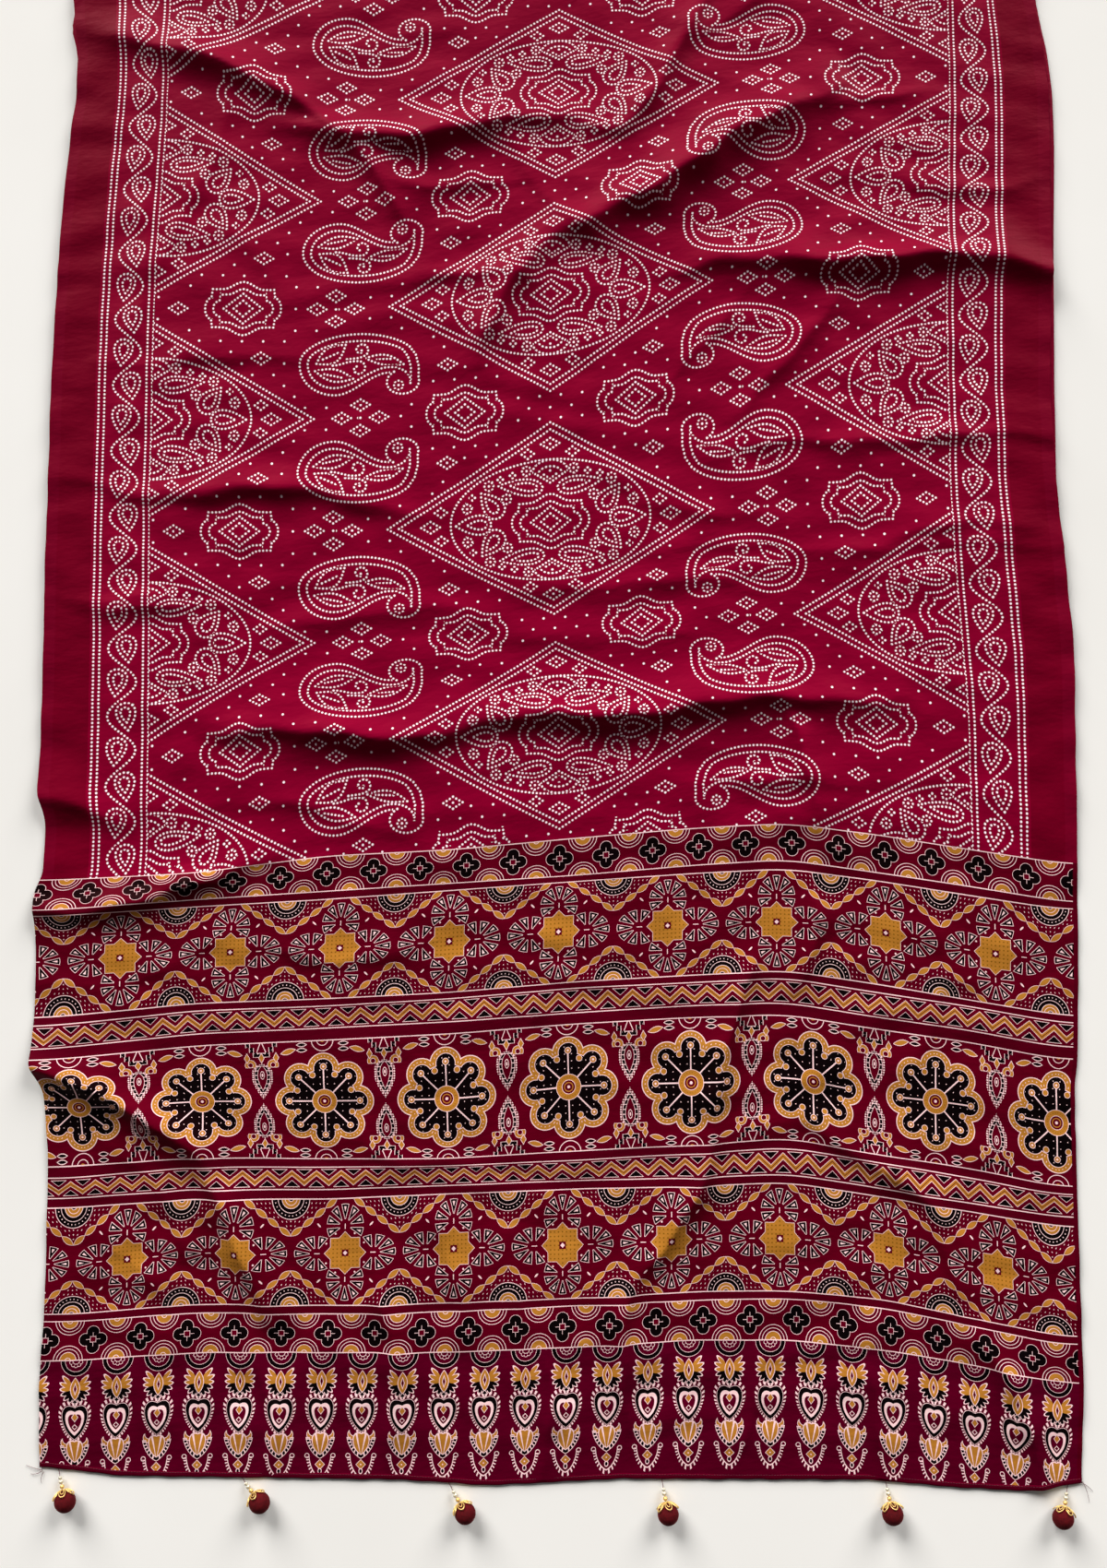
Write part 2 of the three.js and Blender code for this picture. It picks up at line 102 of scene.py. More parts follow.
# Where the pallu's band lines lie, mm: cloth length past the pallu's first line, then y
PALLU_COLUMNS = np.array(
    [-570, -540, -400, -260, -120, 20, 150, 250, 350, 450, 540, 570], float)
PALLU_ROWS = np.array([
    (0, -216, -215, -208, -189, -182, -169, -158, -153, -165, -181, -195, -198),
    (43, -250, -249, -238, -229, -220, -211, -200, -194, -208, -223, -238, -241),
    (51, -256, -255, -245, -237, -227, -217, -208, -203, -216, -232, -246, -248),
    (165, -368, -366, -352, -347, -340, -328, -321, -316, -331, -348, -363, -366),
    (172, -376, -374, -359, -354, -346, -334, -328, -323, -339, -354, -370, -373),
    (200, -402, -400, -385, -379, -372, -362, -354, -351, -367, -381, -398, -400),
    (212, -412, -411, -397, -391, -384, -373, -366, -363, -379, -393, -410, -412),
    (349, -529, -528, -518, -520, -519, -511, -505, -498, -515, -530, -548, -550),
    (358, -540, -539, -527, -528, -526, -520, -513, -507, -522, -539, -556, -558),
    (386, -563, -562, -552, -553, -548, -543, -540, -536, -551, -567, -581, -583),
    (394, -572, -571, -561, -562, -556, -551, -548, -544, -559, -575, -590, -592),
    (508, -685, -685, -674, -676, -673, -668, -661, -660, -669, -689, -707, -709),
    (516, -692, -692, -682, -684, -681, -675, -669, -667, -677, -696, -715, -716),
    (560, -734, -734, -725, -725, -725, -719, -712, -712, -722, -738, -756, -758),
], float)

# Folded lengths under the body, lowest first, mm: end at the left, end at the right, inset
LAYERS = ((-112, -158, 2.0), (-100, -122, 0.0), (4, -6, 2.6), (150, 164, 1.2))
LAYER_PITCH = 1.1
LAYER_HALF = 0.5
LOWEST_LAYER = 0.65
LAYER_RIM = 1.2
SLOPE_START, SLOPE_END = 56, 26

# Folds, mm: start x, y, middle x, y, end x, y, height, width
FOLDS = (
    (-540, 770, -371, 712, -250, 640, 10, 29),
    (-320, 650, -170, 640, 20, 668, 11, 30),
    (10, 672, 104, 680, 182, 850, 7, 28),
    (-285, 660, -219, 606, -165, 530, 7, 26),
    (320, 705, 165, 612, -30, 500, 14.6, 37),
    (10, 520, -64, 448, -86, 365, 9, 30),
    (140, 472, 366, 492, 660, 470, 12, 30),
    (318, 462, 268, 388, 205, 300, 4, 26),
    (-470, 226, -318, 222, -140, 195, 4, 26),
    (-390, -50, -225, -56, -90, -44, 11, 30),
    (-150, -50, 115, -26, 370, -10, 12, 31),
    (-640, -118, -560, -131, -470, -148, 6, 25),
    (248, -30, 276, -90, 300, -180, 7, 24),
    (-650, -250, -454, -236, -310, -190, 9, 26),
    (270, -205, 281, -270, 258, -340, 5, 24),
    (-650, -412, -468, -464, -385, -545, 12, 27),
    (-400, -528, -352, -602, -308, -700, 11, 27),
    (-197, -620, -182, -710, -180, -830, 6, 24),
    (216, -290, 183, -424, 155, -530, 8, 25),
    (165, -495, 140, -573, 80, -655, 8, 25),
    (92, -635, 72, -700, 70, -800, 6, 24),
    (260, -482, 357, -533, 445, -625, 5, 24),
    (455, -710, 492, -787, 535, -910, 6, 24),
)

# Every fold: how far it runs past its ends, its far and near slopes and its reach, all
# as shares of its length or width, the straight bits that its curve is cut into, and how
# far all folds together are lifted and then lowered, mm
FOLD_RUN_ON = 0.16
FAR_SLOPE, NEAR_SLOPE = 1.15, 0.56
FOLD_REACH = 5.2
FOLD_STEPS = 18
FOLD_LIFT = 1.18
FOLD_FOOT = 0.5

# Fine creases between the folds, in the same columns
CREASES = (
    (298, 681, 370, 688, 455, 686, 1.6, 12),
    (-598, 101, -483, 102, -369, 101, 1.0, 10.5),
    (88, 153, 339, 158, 620, 160, 1.1, 12.5),
    (-460, 225, -308, 217, -156, 197, 1.2, 15),
    (-169, -165, -272, -140, -380, -135, 1.6, 14),
    (-207, -489, -156, -525, 15, -525, 1.8, 18),
    (120, 745, 230, 800, 300, 905, 1.8, 22),
    (-60, 640, -10, 560, 60, 520, 1.4, 18),
    (420, 420, 330, 250, 350, 60, 1.2, 35),
    (-420, 560, -330, 480, -310, 380, 1.2, 30),
    (-500, 20, -430, -60, -460, -170, 1.2, 25),
    (480, 330, 440, 120, 470, -60, 1.0, 30),
    (-90, 40, 60, 60, 220, 40, 1.0, 25),
    (-540, -330, -430, -310, -330, -250, 1.4, 19),
    (-60, -240, -20, -330, -50, -430, 1.4, 21),
    (400, -230, 420, -330, 380, -440, 1.6, 22),
    (-520, -600, -440, -640, -420, -720, 1.6, 22),
    (-60, -600, -40, -700, -60, -800, 1.4, 20),
    (300, -620, 330, -700, 310, -800, 1.6, 22),
    (200, -700, 210, -770, 190, -850, 1.4, 16),
    (-200, 590, -120, 582, -20, 584, 2.4, 18),
    (-560, 235, -440, 218, -290, 222, 2.4, 18),
    (-540, 95, -450, 90, -360, 86, 2.8, 18),
    (190, 262, 380, 284, 600, 278, 3.6, 21),
    (-190, 462, -100, 470, -20, 466, 2.0, 16),
    (110, 340, 170, 400, 220, 470, 2.2, 22),
    (-380, 700, -420, 560, -480, 470, 1.8, 24),
    (60, 250, 140, 200, 250, 190, 1.8, 20),
    (-60, 100, 80, 118, 240, 104, 1.8, 20),
    (330, 150, 430, 180, 560, 170, 2.0, 20),
    (-330, 60, -200, 84, -60, 76, 1.8, 20),
    (120, -90, 240, -110, 420, -96, 2.0, 20),
    (-520, 380, -400, 372, -260, 384, 2.0, 20),
    (380, 600, 470, 570, 560, 590, 2.0, 20),
    (-480, 620, -470, 500, -500, 400, 1.8, 22),
    (-330, -290, -240, -300, -120, -280, 1.8, 18),
    (-500, -500, -430, -560, -400, -640, 2.2, 20),
    (-160, -560, -110, -640, -120, -720, 2.2, 20),
    (380, -560, 430, -640, 440, -740, 2.4, 20),
    (-330, -740, -310, -800, -316, -860, 2.4, 15),
    (-20, -730, -10, -790, -16, -860, 2.2, 15),
    (330, -740, 346, -800, 356, -870, 2.4, 15),
)

# Tassels, mm: x where the thread leaves the hem, x and y where the ball lies
TASSELS = (
    (-536, -525, -877), (-339, -318, -878), (-117, -99, -889),
    (111, 117, -890), (351, 356, -890), (546, 537, -894),
)
BALL_RADIUS = 0.0113
CAP_RADIUS = 0.0124
BEAD_RADIUS = 0.0024
BEAD_CENTRE = 0.0155
SEED_RADII = (0.0026, 0.0021)
THREAD_STANDOFF = 0.0005
HEM_WIDTH = 0.006
HEM_HEIGHT = 0.0022
HEM_POWER = 2.6
HEM_CORNER = -845.0
STITCH_PITCH, STITCH_HALF = 0.003, 0.0010
FRAY_ROOT, FRAY_TIP = 0.00032, 0.00016
THREAD_RADIUS = 0.00035
NAP_THREADS = 1500
NAP_WIDTH = 0.00011
GOLDEN_TURN = 2.399963
PETALS = 6
PETAL_LIFT = 0.0009
PETAL_WIRE, LOOP_WIRE = 0.0006, 0.00045


def through(places, rows, where):
    """Rows of a table met one after another along a smooth curve: a cubic between
    neighbours, each with the slope from the row before it to the row after it."""
    slope = np.gradient(rows, places, axis=0)
    at = np.clip(np.searchsorted(places, where, side="right") - 1, 0, len(places) - 2)
    step = (places[at + 1] - places[at])[:, None]
    t = (where[:, None] - places[at][:, None]) / step
    return (rows[at] * (1 + 2 * t) * (1 - t) ** 2 + slope[at] * step * t * (1 - t) ** 2
            + rows[at + 1] * t * t * (3 - 2 * t) - slope[at + 1] * step * t * t * (1 - t))


def eased(places, values, where, reach):
    """A table's value, averaged over seven places within reach, so that no corner shows."""
    shifts = reach * np.linspace(-1, 1, 7)
    return np.mean([np.interp(where + shift, places, values) for shift in shifts], axis=0)


def smoothstep(value, low, high):
    """0 below low, 1 above high, t * t * (3 - 2 * t) between."""
    t = np.clip((value - low) / (high - low), 0, 1)
    return t * t * (3 - 2 * t)


def edge_at(y, column):
    """A side edge's x, mm, at length y, mm: the outline's table, eased over 8 mm."""
    return eased(EDGES[:, 0], EDGES[:, column], y, 8)


def across(u, y):
    """x, mm, of the cloth at share u of its width from the middle, m, and length y, mm:
    straight from the left edge over the two side lines to the right edge."""
    places = np.array([-HALF_WIDTH, -SIDE_LINE, SIDE_LINE, HALF_WIDTH])
    lines = [edge_at(y, 1), eased(SIDE_LINES[:, 0], SIDE_LINES[:, 1], y, 40),
             eased(SIDE_LINES[:, 0], SIDE_LINES[:, 2], y, 40), edge_at(y, 2)]
    x = np.zeros_like(y)
    for n in range(3):
        t = (u - places[n]) / (places[n + 1] - places[n])
        inside = (t >= 0) & (t < 1) if n < 2 else t >= 0
        x = np.where(inside, lines[n] * (1 - t) + lines[n + 1] * t, x)
    return x


def pallu_line(u):
    """y, mm, of the pallu's first line across the cloth."""
    return eased(PALLU_COLUMNS, PALLU_ROWS[0, 1:], u / MM, 25)


def body_y(u, v):
    """y, mm, of the body cloth at (u, v), m: its cross lines' table, smooth both ways."""
    rows = [pallu_line(u)]
    rows += [eased(BODY_COLUMNS, row[1:], u / MM, 70) for row in BODY_ROWS[1:]]
    return through(BODY_ROWS[:, 0] * MM, np.array(rows), v)


def pallu_y(u, v):
    """y, mm, of the pallu at (u, v), m, v counted down from its first line."""
    rows = [pallu_line(u)]
    rows += [eased(PALLU_COLUMNS, row[1:], u / MM, 25) for row in PALLU_ROWS[1:]]
    return through(PALLU_ROWS[:, 0] * MM, np.array(rows), v)


def hem_y(u):
    """y, mm, of the hem's outer edge across the cloth."""
    return eased(HEM_LINE[:, 0], HEM_LINE[:, 1], u / MM, 14)


def ridge(x, y, row):
    """One fold's height, mm: height x fade x profile, by its distance from a curve through
    its three points, run on a little past both ends. With q = distance / width, the
    profile is a crest, 1.4 exp(1.7 (0.3 - sqrt(q q + 0.09))), steep towards the near side
    and gentle towards the far side. The fade is a sine over the curve's length."""
    height, width = row[6:]
    start, middle, end = np.array(row[:6], float).reshape(3, 2)
    start, end = [tip + FOLD_RUN_ON * (tip - middle) for tip in (start, end)]
    pull = 2 * middle - (start + end) / 2
    out = np.zeros_like(x)
    reach = FOLD_REACH * width
    low = np.minimum(np.minimum(start, end), middle) - reach
    high = np.maximum(np.maximum(start, end), middle) + reach
    close = (x > low[0]) & (x < high[0]) & (y > low[1]) & (y < high[1])
    px, py = x[close], y[close]
    t = np.linspace(0, 1, FOLD_STEPS + 1)[:, None]
    path = start * (1 - t) ** 2 + pull * 2 * t * (1 - t) + end * t * t
    best = np.full(px.shape, np.inf)
    share = np.zeros_like(px)
    side = np.zeros_like(px)
    for n in range(len(path) - 1):
        way = path[n + 1] - path[n]
        s = ((px - path[n, 0]) * way[0] + (py - path[n, 1]) * way[1]) / (way @ way)
        s = np.clip(s, 0, 1)
        dx, dy = px - path[n, 0] - s * way[0], py - path[n, 1] - s * way[1]
        gap = dx * dx + dy * dy
        closer = gap < best
        best = np.where(closer, gap, best)
        share = np.where(closer, (n + s) / (len(path) - 1), share)
        side = np.where(closer, way[0] * dy - way[1] * dx, side)
    towards_far = side * (1 if row[4] > row[0] else -1) > 0
    width = np.where(towards_far, FAR_SLOPE, NEAR_SLOPE) * width
    profile = 1.4 * np.exp(1.7 * (0.3 - np.sqrt(best / width ** 2 + 0.09)))
    fade = np.sin(np.pi * np.clip(share, 0, 1)) ** 0.9
    out[close] = height * fade * profile
    return out


def wavering(x, y):
    """Places moved a few millimetres back and forth, so that a fold's line wavers."""
    return (x + 5.0 * np.sin(y / 37 + 0.9 * np.sin(x / 61)) + 1.5 * np.sin(y / 11 + x / 29),
            y + 5.5 * np.sin(x / 43 + np.sin(y / 53)) + 1.7 * np.sin(x / 13 + y / 31))


def fold_height(x, y):
    """Folds together, mm: the root of the sum of their squares, lifted, less their foot."""
    x, y = wavering(x, y)
    total = np.zeros_like(x)
    for row in FOLDS:
        total += ridge(x, y, row) ** 2
    return np.maximum(FOLD_LIFT * np.sqrt(total) - FOLD_FOOT, 0)


def crumples(x, y):
    """Soft crumples all over, mm: three trains of waves, 55 to 110 mm long, and a fine one
    of 27 mm, each bent by slower sines and swelling and dying away in patches; none
    along the hem."""
    patch = 0.5 + 0.5 * np.sin(x / 88 + 1.3 * np.sin(y / 61)) * np.sin(y / 73 + x / 131)
    other = 0.5 + 0.5 * np.sin(x / 67 - y / 97 + 2) * np.sin(y / 59 - 1)
    level = 0.96 * patch * np.sin(y / 9 + 2.2 * np.sin(x / 67 + 1.1 * np.sin(y / 49)))
    rising = 0.88 * (1 - patch) * np.sin((x + 1.7 * y) / 18 + 1.8 * np.sin((x - y) / 59))
    falling = 0.74 * other * np.sin((x - 1.4 * y) / 17 + 1.5 * np.sin((x + y) / 71 + 2))
    fine = 0.10 * other * np.sin(y / 4.3 + 1.6 * np.sin(x / 27) + x / 38)
    return (1.7 + level + rising + falling + fine) * smoothstep(y, -842, -806)


def creases(x, y):
    """Fine creases and the cloth's slow waves, mm: small ridges plus three long sines."""
    bent_x, bent_y = wavering(x, y)
    total = 1.35 * sum(ridge(bent_x, bent_y, row) for row in CREASES)
    waves = (0.30 * np.sin(x / 31 + 1.7 * np.sin(y / 83)) * np.sin(y / 47 + 0.6)
             + 0.22 * np.sin(x / 57 - y / 38 + np.sin(x / 91)))
    return total + 0.5 + waves + crumples(x, y)


def rest_height(x, y):
    """Height, mm, of what the cloth rests on: each folded length adds its pitch, eased
    over 30 mm before its end."""
    u = (x * MM / HALF_WIDTH + 1) / 2
    height = 0.3 * smoothstep(y, -200, -170)
    for left, right, _ in LAYERS:
        end = left + (right - left) * u
        height = height + LAYER_PITCH * smoothstep(y, end - SLOPE_START, end - SLOPE_END)
    return height


def skin(x, y):
    """Height of the cloth's upper face, m."""
    return MM * (rest_height(x, y) + fold_height(x, y) + creases(x, y)) + CLOTH_WALL


def mesh_piece(name, points, faces, finishes, slot, zones=None, normals=None, uv=None,
               dots=None):
    """A mesh object from an array of points and a list of face arrays, one array for
    each number of corners; zones says which finish each face takes, dots where each
    face's corners lie on its row of printed dots."""
    mesh = bpy.data.meshes.new(name)
    mesh.vertices.add(len(points))
    mesh.vertices.foreach_set("co", np.asarray(points, np.float32).ravel())
    sizes = np.concatenate([np.full(len(f), f.shape[1]) for f in faces])
    corners = np.concatenate([f.ravel() for f in faces]).astype(np.int32)
    starts = np.concatenate([[0], np.cumsum(sizes)[:-1]]).astype(np.int32)
    mesh.loops.add(len(corners))
    mesh.loops.foreach_set("vertex_index", corners)
    mesh.polygons.add(len(sizes))
    mesh.polygons.foreach_set("loop_start", starts)
    for finish in finishes:
        mesh.materials.append(finish)
    if zones is not None:
        mesh.polygons.foreach_set("material_index", np.asarray(zones, np.int32))
    mesh.update(calc_edges=True)
    mesh.shade_smooth()
    maps = {} if uv is None else {"Cloth": uv[corners]}
    if dots is not None:
        maps["Dots"] = dots
    for label, values in maps.items():
        layer = mesh.uv_layers.new(name=label)
        layer.data.foreach_set("uv", np.asarray(values, np.float32).ravel())
    if normals is not None:
        mesh.normals_split_custom_set_from_vertices(normals.tolist())
    piece = bpy.data.objects.new(name, mesh)
    bpy.context.scene.collection.objects.link(piece)
    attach(piece, "root")
    return piece


def grid_faces(rows, columns, start=0, around=False):
    """Quads between neighbours of a grid of points, closed on itself if around."""
    r = np.arange(rows - 1)[:, None]
    c = np.arange(columns if around else columns - 1)[None, :]
    after = (c + 1) % columns
    quads = [r * columns + c, r * columns + after, (r + 1) * columns + after,
             (r + 1) * columns + c]
    return start + np.stack([np.broadcast_to(q, (rows - 1, c.shape[1])) for q in quads],
                            axis=-1).reshape(-1, 4)


def shell_faces(rows, columns):
    """Faces of a cloth shell of two grids: the upper, the under, and the wall between
    them along all four sides."""
    upper = grid_faces(rows, columns)
    count = rows * columns
    under = upper[:, ::-1] + count
    grid = np.arange(count).reshape(rows, columns)
    walls = []
    for rim in (grid[0, :], grid[:, -1], grid[-1, ::-1], grid[::-1, 0]):
        walls.append(np.stack([rim[:-1], rim[:-1] + count, rim[1:] + count, rim[1:]], axis=-1))
    return upper, under, np.concatenate(walls)


def shell_piece(name, upper, under, u, v, zones, dots, finishes, slot, normals):
    """A closed cloth shell from two grids of points, with its print's coordinates: zones
    and dots by face, the same above and below, none on the walls."""
    rows, columns = u.shape
    faces = shell_faces(rows, columns)
    points = np.concatenate([upper.reshape(-1, 3), under.reshape(-1, 3)])
    uv = np.tile(np.stack([u, v], axis=-1).reshape(-1, 2), (2, 1))
    both = np.concatenate([normals.reshape(-1, 3), -normals.reshape(-1, 3)])
    index = np.concatenate([zones.ravel(), zones.ravel(),
                            np.zeros(len(faces[2]), int)])
    places = dots.reshape(-1, 4, 2)
    places = np.concatenate([places, places[:, ::-1],
                             np.full((len(faces[2]), 4, 2), NO_DOT)])
    return mesh_piece(name, points, list(faces), finishes, slot, index, both, uv,
                      places.reshape(-1, 2))


def unit(vectors):
    """Vectors brought to length 1."""
    return vectors / np.linalg.norm(vectors, axis=-1, keepdims=True)


def grid_normals(points):
    """Normals of a grid of points: the cross product of its two differences."""
    return unit(np.cross(np.gradient(points, axis=1), np.gradient(points, axis=0)))


def cloth_grid(u, y):
    """Upper and under points of cloth at shares u of its width, m, and lengths y, mm: the
    upper on the skin, the under a wall lower along its normal, never under the floor."""
    x = across(u, y)
    upper = np.stack([x * MM, y * MM, skin(x, y)], axis=-1)
    normals = grid_normals(upper)
    under = upper - SHELL_WALL * normals
    under[..., 2] = np.maximum(under[..., 2], FLOOR_CLEARANCE)
    return upper, under, normals


def turned_end(upper):
    """The far end's turn down round the folded lengths: half an ellipse from the skin to
    the floor, 5 mm deep."""
    last = upper[-1]
    angles = np.radians(np.array([22, 45, 68, 90, 112, 135, 152]))[:, None]
    half = last[:, 2] / 2
    outer, inner = [
        np.stack([last[:, 0] + 0 * angles, last[:, 1] + (FOLD_NOSE - wall) * np.sin(angles),
                  half + (half - wall) * np.cos(angles)], axis=-1)
        for wall in (0, SHELL_WALL)]
    level = np.zeros(outer.shape[:2])
    facing = np.stack([level, level + np.sin(angles), level + np.cos(angles)], axis=-1)
    return outer, inner, facing


def spaced(marks, step):
    """Places between marks, each span cut into equal parts of about one step."""
    parts = [np.linspace(a, b, max(2, round((b - a) / step) + 1))[:-1]
             for a, b in zip(marks[:-1], marks[1:])]
    return np.concatenate(parts + [[marks[-1]]])


def strips(count, cuts):
    """Slices of rows that share their end rows, cut at the given row numbers."""
    ends = [0, *cuts, count - 1]
    return [slice(a, b + 1) for a, b in zip(ends[:-1], ends[1:])]


def rings(path, way, guide, radius, sides):
    """A ring of points round each point of a path: radius x (cos a x side + sin a x up),
    side square to the path's way and to the guide."""
    side = unit(np.cross(way, guide))
    up = np.cross(side, way)
    a = np.arange(sides) * TAU / sides
    ring = side[:, None] * np.cos(a)[None, :, None] + up[:, None] * np.sin(a)[None, :, None]
    return (path[:, None] + ring * np.reshape(radius, (-1, 1, 1))).reshape(-1, 3)


def tube(path, radius, sides=8):
    """Round bar along a path, its ends closed by one face each. Gives points and faces."""
    guide = np.array([0.31, 0.17, 0.93])
    points = rings(path, unit(np.gradient(path, axis=0)), guide, radius, sides)
    walls = grid_faces(len(path), sides, around=True)
    caps = np.array([np.arange(sides)[::-1], (len(path) - 1) * sides + np.arange(sides)])
    return points, [walls[:, ::-1], caps[:, ::-1]]


def loop_tube(path, radius, sides=6):
    """Round bar along a closed path, joined to its own start."""
    way = unit(np.roll(path, -1, axis=0) - np.roll(path, 1, axis=0))
    middle = unit(path.mean(axis=0) + np.array([0, 1e-6, 0]))
    closed = np.concatenate([grid_faces(len(path), sides, around=True),
                             joined_ends(len(path), sides)])
    return rings(path, way, middle, radius, sides), [closed[:, ::-1]]


def joined_ends(rows, sides):
    """Quads from a closed bar's last ring back to its first."""
    c = np.arange(sides)
    last = (rows - 1) * sides
    return np.stack([last + c, last + (c + 1) % sides, (c + 1) % sides, c], axis=-1)


def turned(radii, heights, sides):
    """A profile turned about +Y: rings of radius r at height h, with the first and the
    last point on the axis. Gives points and faces."""
    a = np.arange(sides) * TAU / sides
    r, h = np.asarray(radii, float)[1:-1, None], np.asarray(heights, float)[1:-1, None]
    walls = np.stack([r * np.cos(a), h + 0 * a, r * np.sin(a)], axis=-1).reshape(-1, 3)
    points = np.concatenate([walls, [[0, heights[0], 0], [0, heights[-1], 0]]])
    c = np.arange(sides)
    after = (c + 1) % sides
    last = (len(r) - 1) * sides
    low = np.stack([c, after, np.full(sides, len(walls))], axis=-1)
    high = np.stack([last + after, last + c, np.full(sides, len(walls) + 1)], axis=-1)
    return points, [grid_faces(len(r), sides, around=True)[:, ::-1], low, high]


def joined(shapes):
    """Several shapes' points and faces as one, faces of the same corner count together."""
    points, groups, count = [], {}, 0
    for shape_points, faces in shapes:
        for f in faces:
            groups.setdefault(f.shape[1], []).append(f + count)
        points.append(shape_points)
        count += len(shape_points)
    return np.concatenate(points), [np.concatenate(f) for f in groups.values()]


class Value:
    """A number that changes over a surface: a shader socket whose operators add Math nodes."""

    def __init__(self, paint, socket):
        self.paint = paint
        self.socket = socket

    def math(self, operation, *others):
        return self.paint.math(operation, self, *others)

    def __add__(self, other):
        return self.math("ADD", other)

    __radd__ = __add__

    def __sub__(self, other):
        return self.math("SUBTRACT", other)

    def __rsub__(self, other):
        return self.paint.math("SUBTRACT", other, self)

    def __mul__(self, other):
        return self.math("MULTIPLY", other)

    __rmul__ = __mul__

    def __truediv__(self, other):
        return self.math("DIVIDE", other)

    def __rtruediv__(self, other):
        return self.paint.math("DIVIDE", other, self)

    def __mod__(self, other):
        return self.math("FLOORED_MODULO", other)

    def __neg__(self):
        return self * -1

    def __abs__(self):
        return self.math("ABSOLUTE")

    def __lt__(self, other):
        return self.math("LESS_THAN", other)

    def __gt__(self, other):
        return self.math("GREATER_THAN", other)

    def __or__(self, other):
        return self.math("MAXIMUM", other)

    def __and__(self, other):
        return self.math("MINIMUM", other)


class Paint:
    """One material under way: its node tree, and a method for each kind of node."""

    def __init__(self, name):
        self.material = bpy.data.materials.new(name)
        self.material.use_nodes = True
        self.tree = self.material.node_tree
        self.tree.nodes.clear()

    def node(self, kind, settings=None, inputs=None):
        """A node of that type: its settings first, then its sockets' values or links."""
        made = self.tree.nodes.new(kind)
        for key, value in (settings or {}).items():
            if key == "stops":
                made.color_ramp.interpolation = "CONSTANT"
                ramp = made.color_ramp.elements
                while len(ramp) < len(value):
                    ramp.new(0.5)
                for stop, (place, colour) in zip(ramp, value):
                    stop.position = place
                    stop.color = colour
            else:
                setattr(made, key, value)
        if isinstance(inputs, (list, tuple)):
            inputs = dict(enumerate(inputs))
        for key, value in (inputs or {}).items():
            if value is None:
                continue
            socket = made.inputs[key]
            if isinstance(value, Value):
                value = value.socket
            if isinstance(value, bpy.types.NodeSocket):
                self.tree.links.new(value, socket)
            else:
                socket.default_value = value
        return made.outputs

    def math(self, operation, *values):
        out = self.node("ShaderNodeMath", {"operation": operation}, values)
        return Value(self, out[0])

    def noise(self, place, scale, detail=2.0, rough=0.5):
        out = self.node("ShaderNodeTexNoise", None, {
            "Vector": place, "Scale": scale, "Detail": detail, "Roughness": rough})
        return Value(self, out["Fac"])

    def vector(self, x, y, z=0.0):
        return self.node("ShaderNodeCombineXYZ", None, [x, y, z])[0]

    def place(self):
        """Where the point is on the piece, m."""
        return self.node("ShaderNodeTexCoord")["Object"]

    def mix(self, mask, under, over):
        """One colour over another where the mask is 1."""
        out = self.node("ShaderNodeMix", {"data_type": "RGBA"}, {
            0: mask, 6: rgba(under), 7: rgba(over)})
        return out[2]

    def mix_numbers(self, mask, under, over):
        """One number where the mask is 0, the other where it is 1."""
        out = self.node("ShaderNodeMix", {"data_type": "FLOAT"}, {0: mask, 2: under, 3: over})
        return Value(self, out[0])

    def clamped(self, operation, *values):
        """A Math node whose result is kept between 0 and 1."""
        out = self.node("ShaderNodeMath", {"operation": operation, "use_clamp": True}, values)
        return Value(self, out[0])

    def map_place(self, name):
        """The two values of one of the piece's own maps."""
        out = self.node("ShaderNodeUVMap", {"uv_map": name})
        axes = self.node("ShaderNodeSeparateXYZ", None, [out[0]])
        return Value(self, axes[0]), Value(self, axes[1])

    def cloth_place(self):
        """The print's coordinates: u across the cloth from its middle, v along it, m."""
        return self.map_place("Cloth")

    def finish(self, **inputs):
        """The shader and the output: each input by its socket's name, _ for a space."""
        named = {key.replace("_", " "): rgba(value) if isinstance(value, str) else value
                 for key, value in inputs.items()}
        shader = self.node("ShaderNodeBsdfPrincipled", None, named)
        self.node("ShaderNodeOutputMaterial", None, [shader[0]])
        return self.material


def rgba(colour):
    """A named colour of the print as linear numbers; a socket goes through as it is."""
    if not isinstance(colour, str):
        return colour
    parts = [int(colour[n:n + 2], 16) / 255 for n in (0, 2, 4)]
    return (*[c / 12.92 if c <= 0.04045 else ((c + 0.055) / 1.055) ** 2.4 for c in parts], 1)


def sine(value):
    return value.math("SINE")


def cosine(value):
    return value.math("COSINE")


def root(value):
    return value.math("SQRT")


def folded(value, half):
    """The value mirrored back and forth between 0 and half."""
    return value.math("PINGPONG", half)


def near(value, target, width):
    """1 where the value is within width of the target."""
    return value.math("COMPARE", target, width)


def far_from(x, y, cx=0.0, cy=0.0):
    """Distance from a point."""
    dx, dy = (x - cx if cx else x), (y - cy if cy else y)
    return root(dx.math("MULTIPLY_ADD", dx, dy * dy))


def turn_of(x, y, cx=0.0, cy=0.0):
    """Angle round a point, radians, 0 along x."""
    return (y - cy).math("ARCTAN2", x - cx)


def printed(*layers):
    """The ink at each place: the ground, then one layer after another laid over it, each
    a mask and the ink that it has where the mask is 1."""
    ink = GROUND
    for mask, over in layers:
        ink = mask.paint.mix_numbers(mask, ink, over)
    return ink


# Crepe satin: ribs and clouds in a metre, the tone they give the dye, the relief, m
RIBS, CLOUDS = 2600, 9
PLAIN_TONE, RIB_TONE, CLOUD_TONE = 0.84, 0.12, 0.22
RELIEF = 0.0016


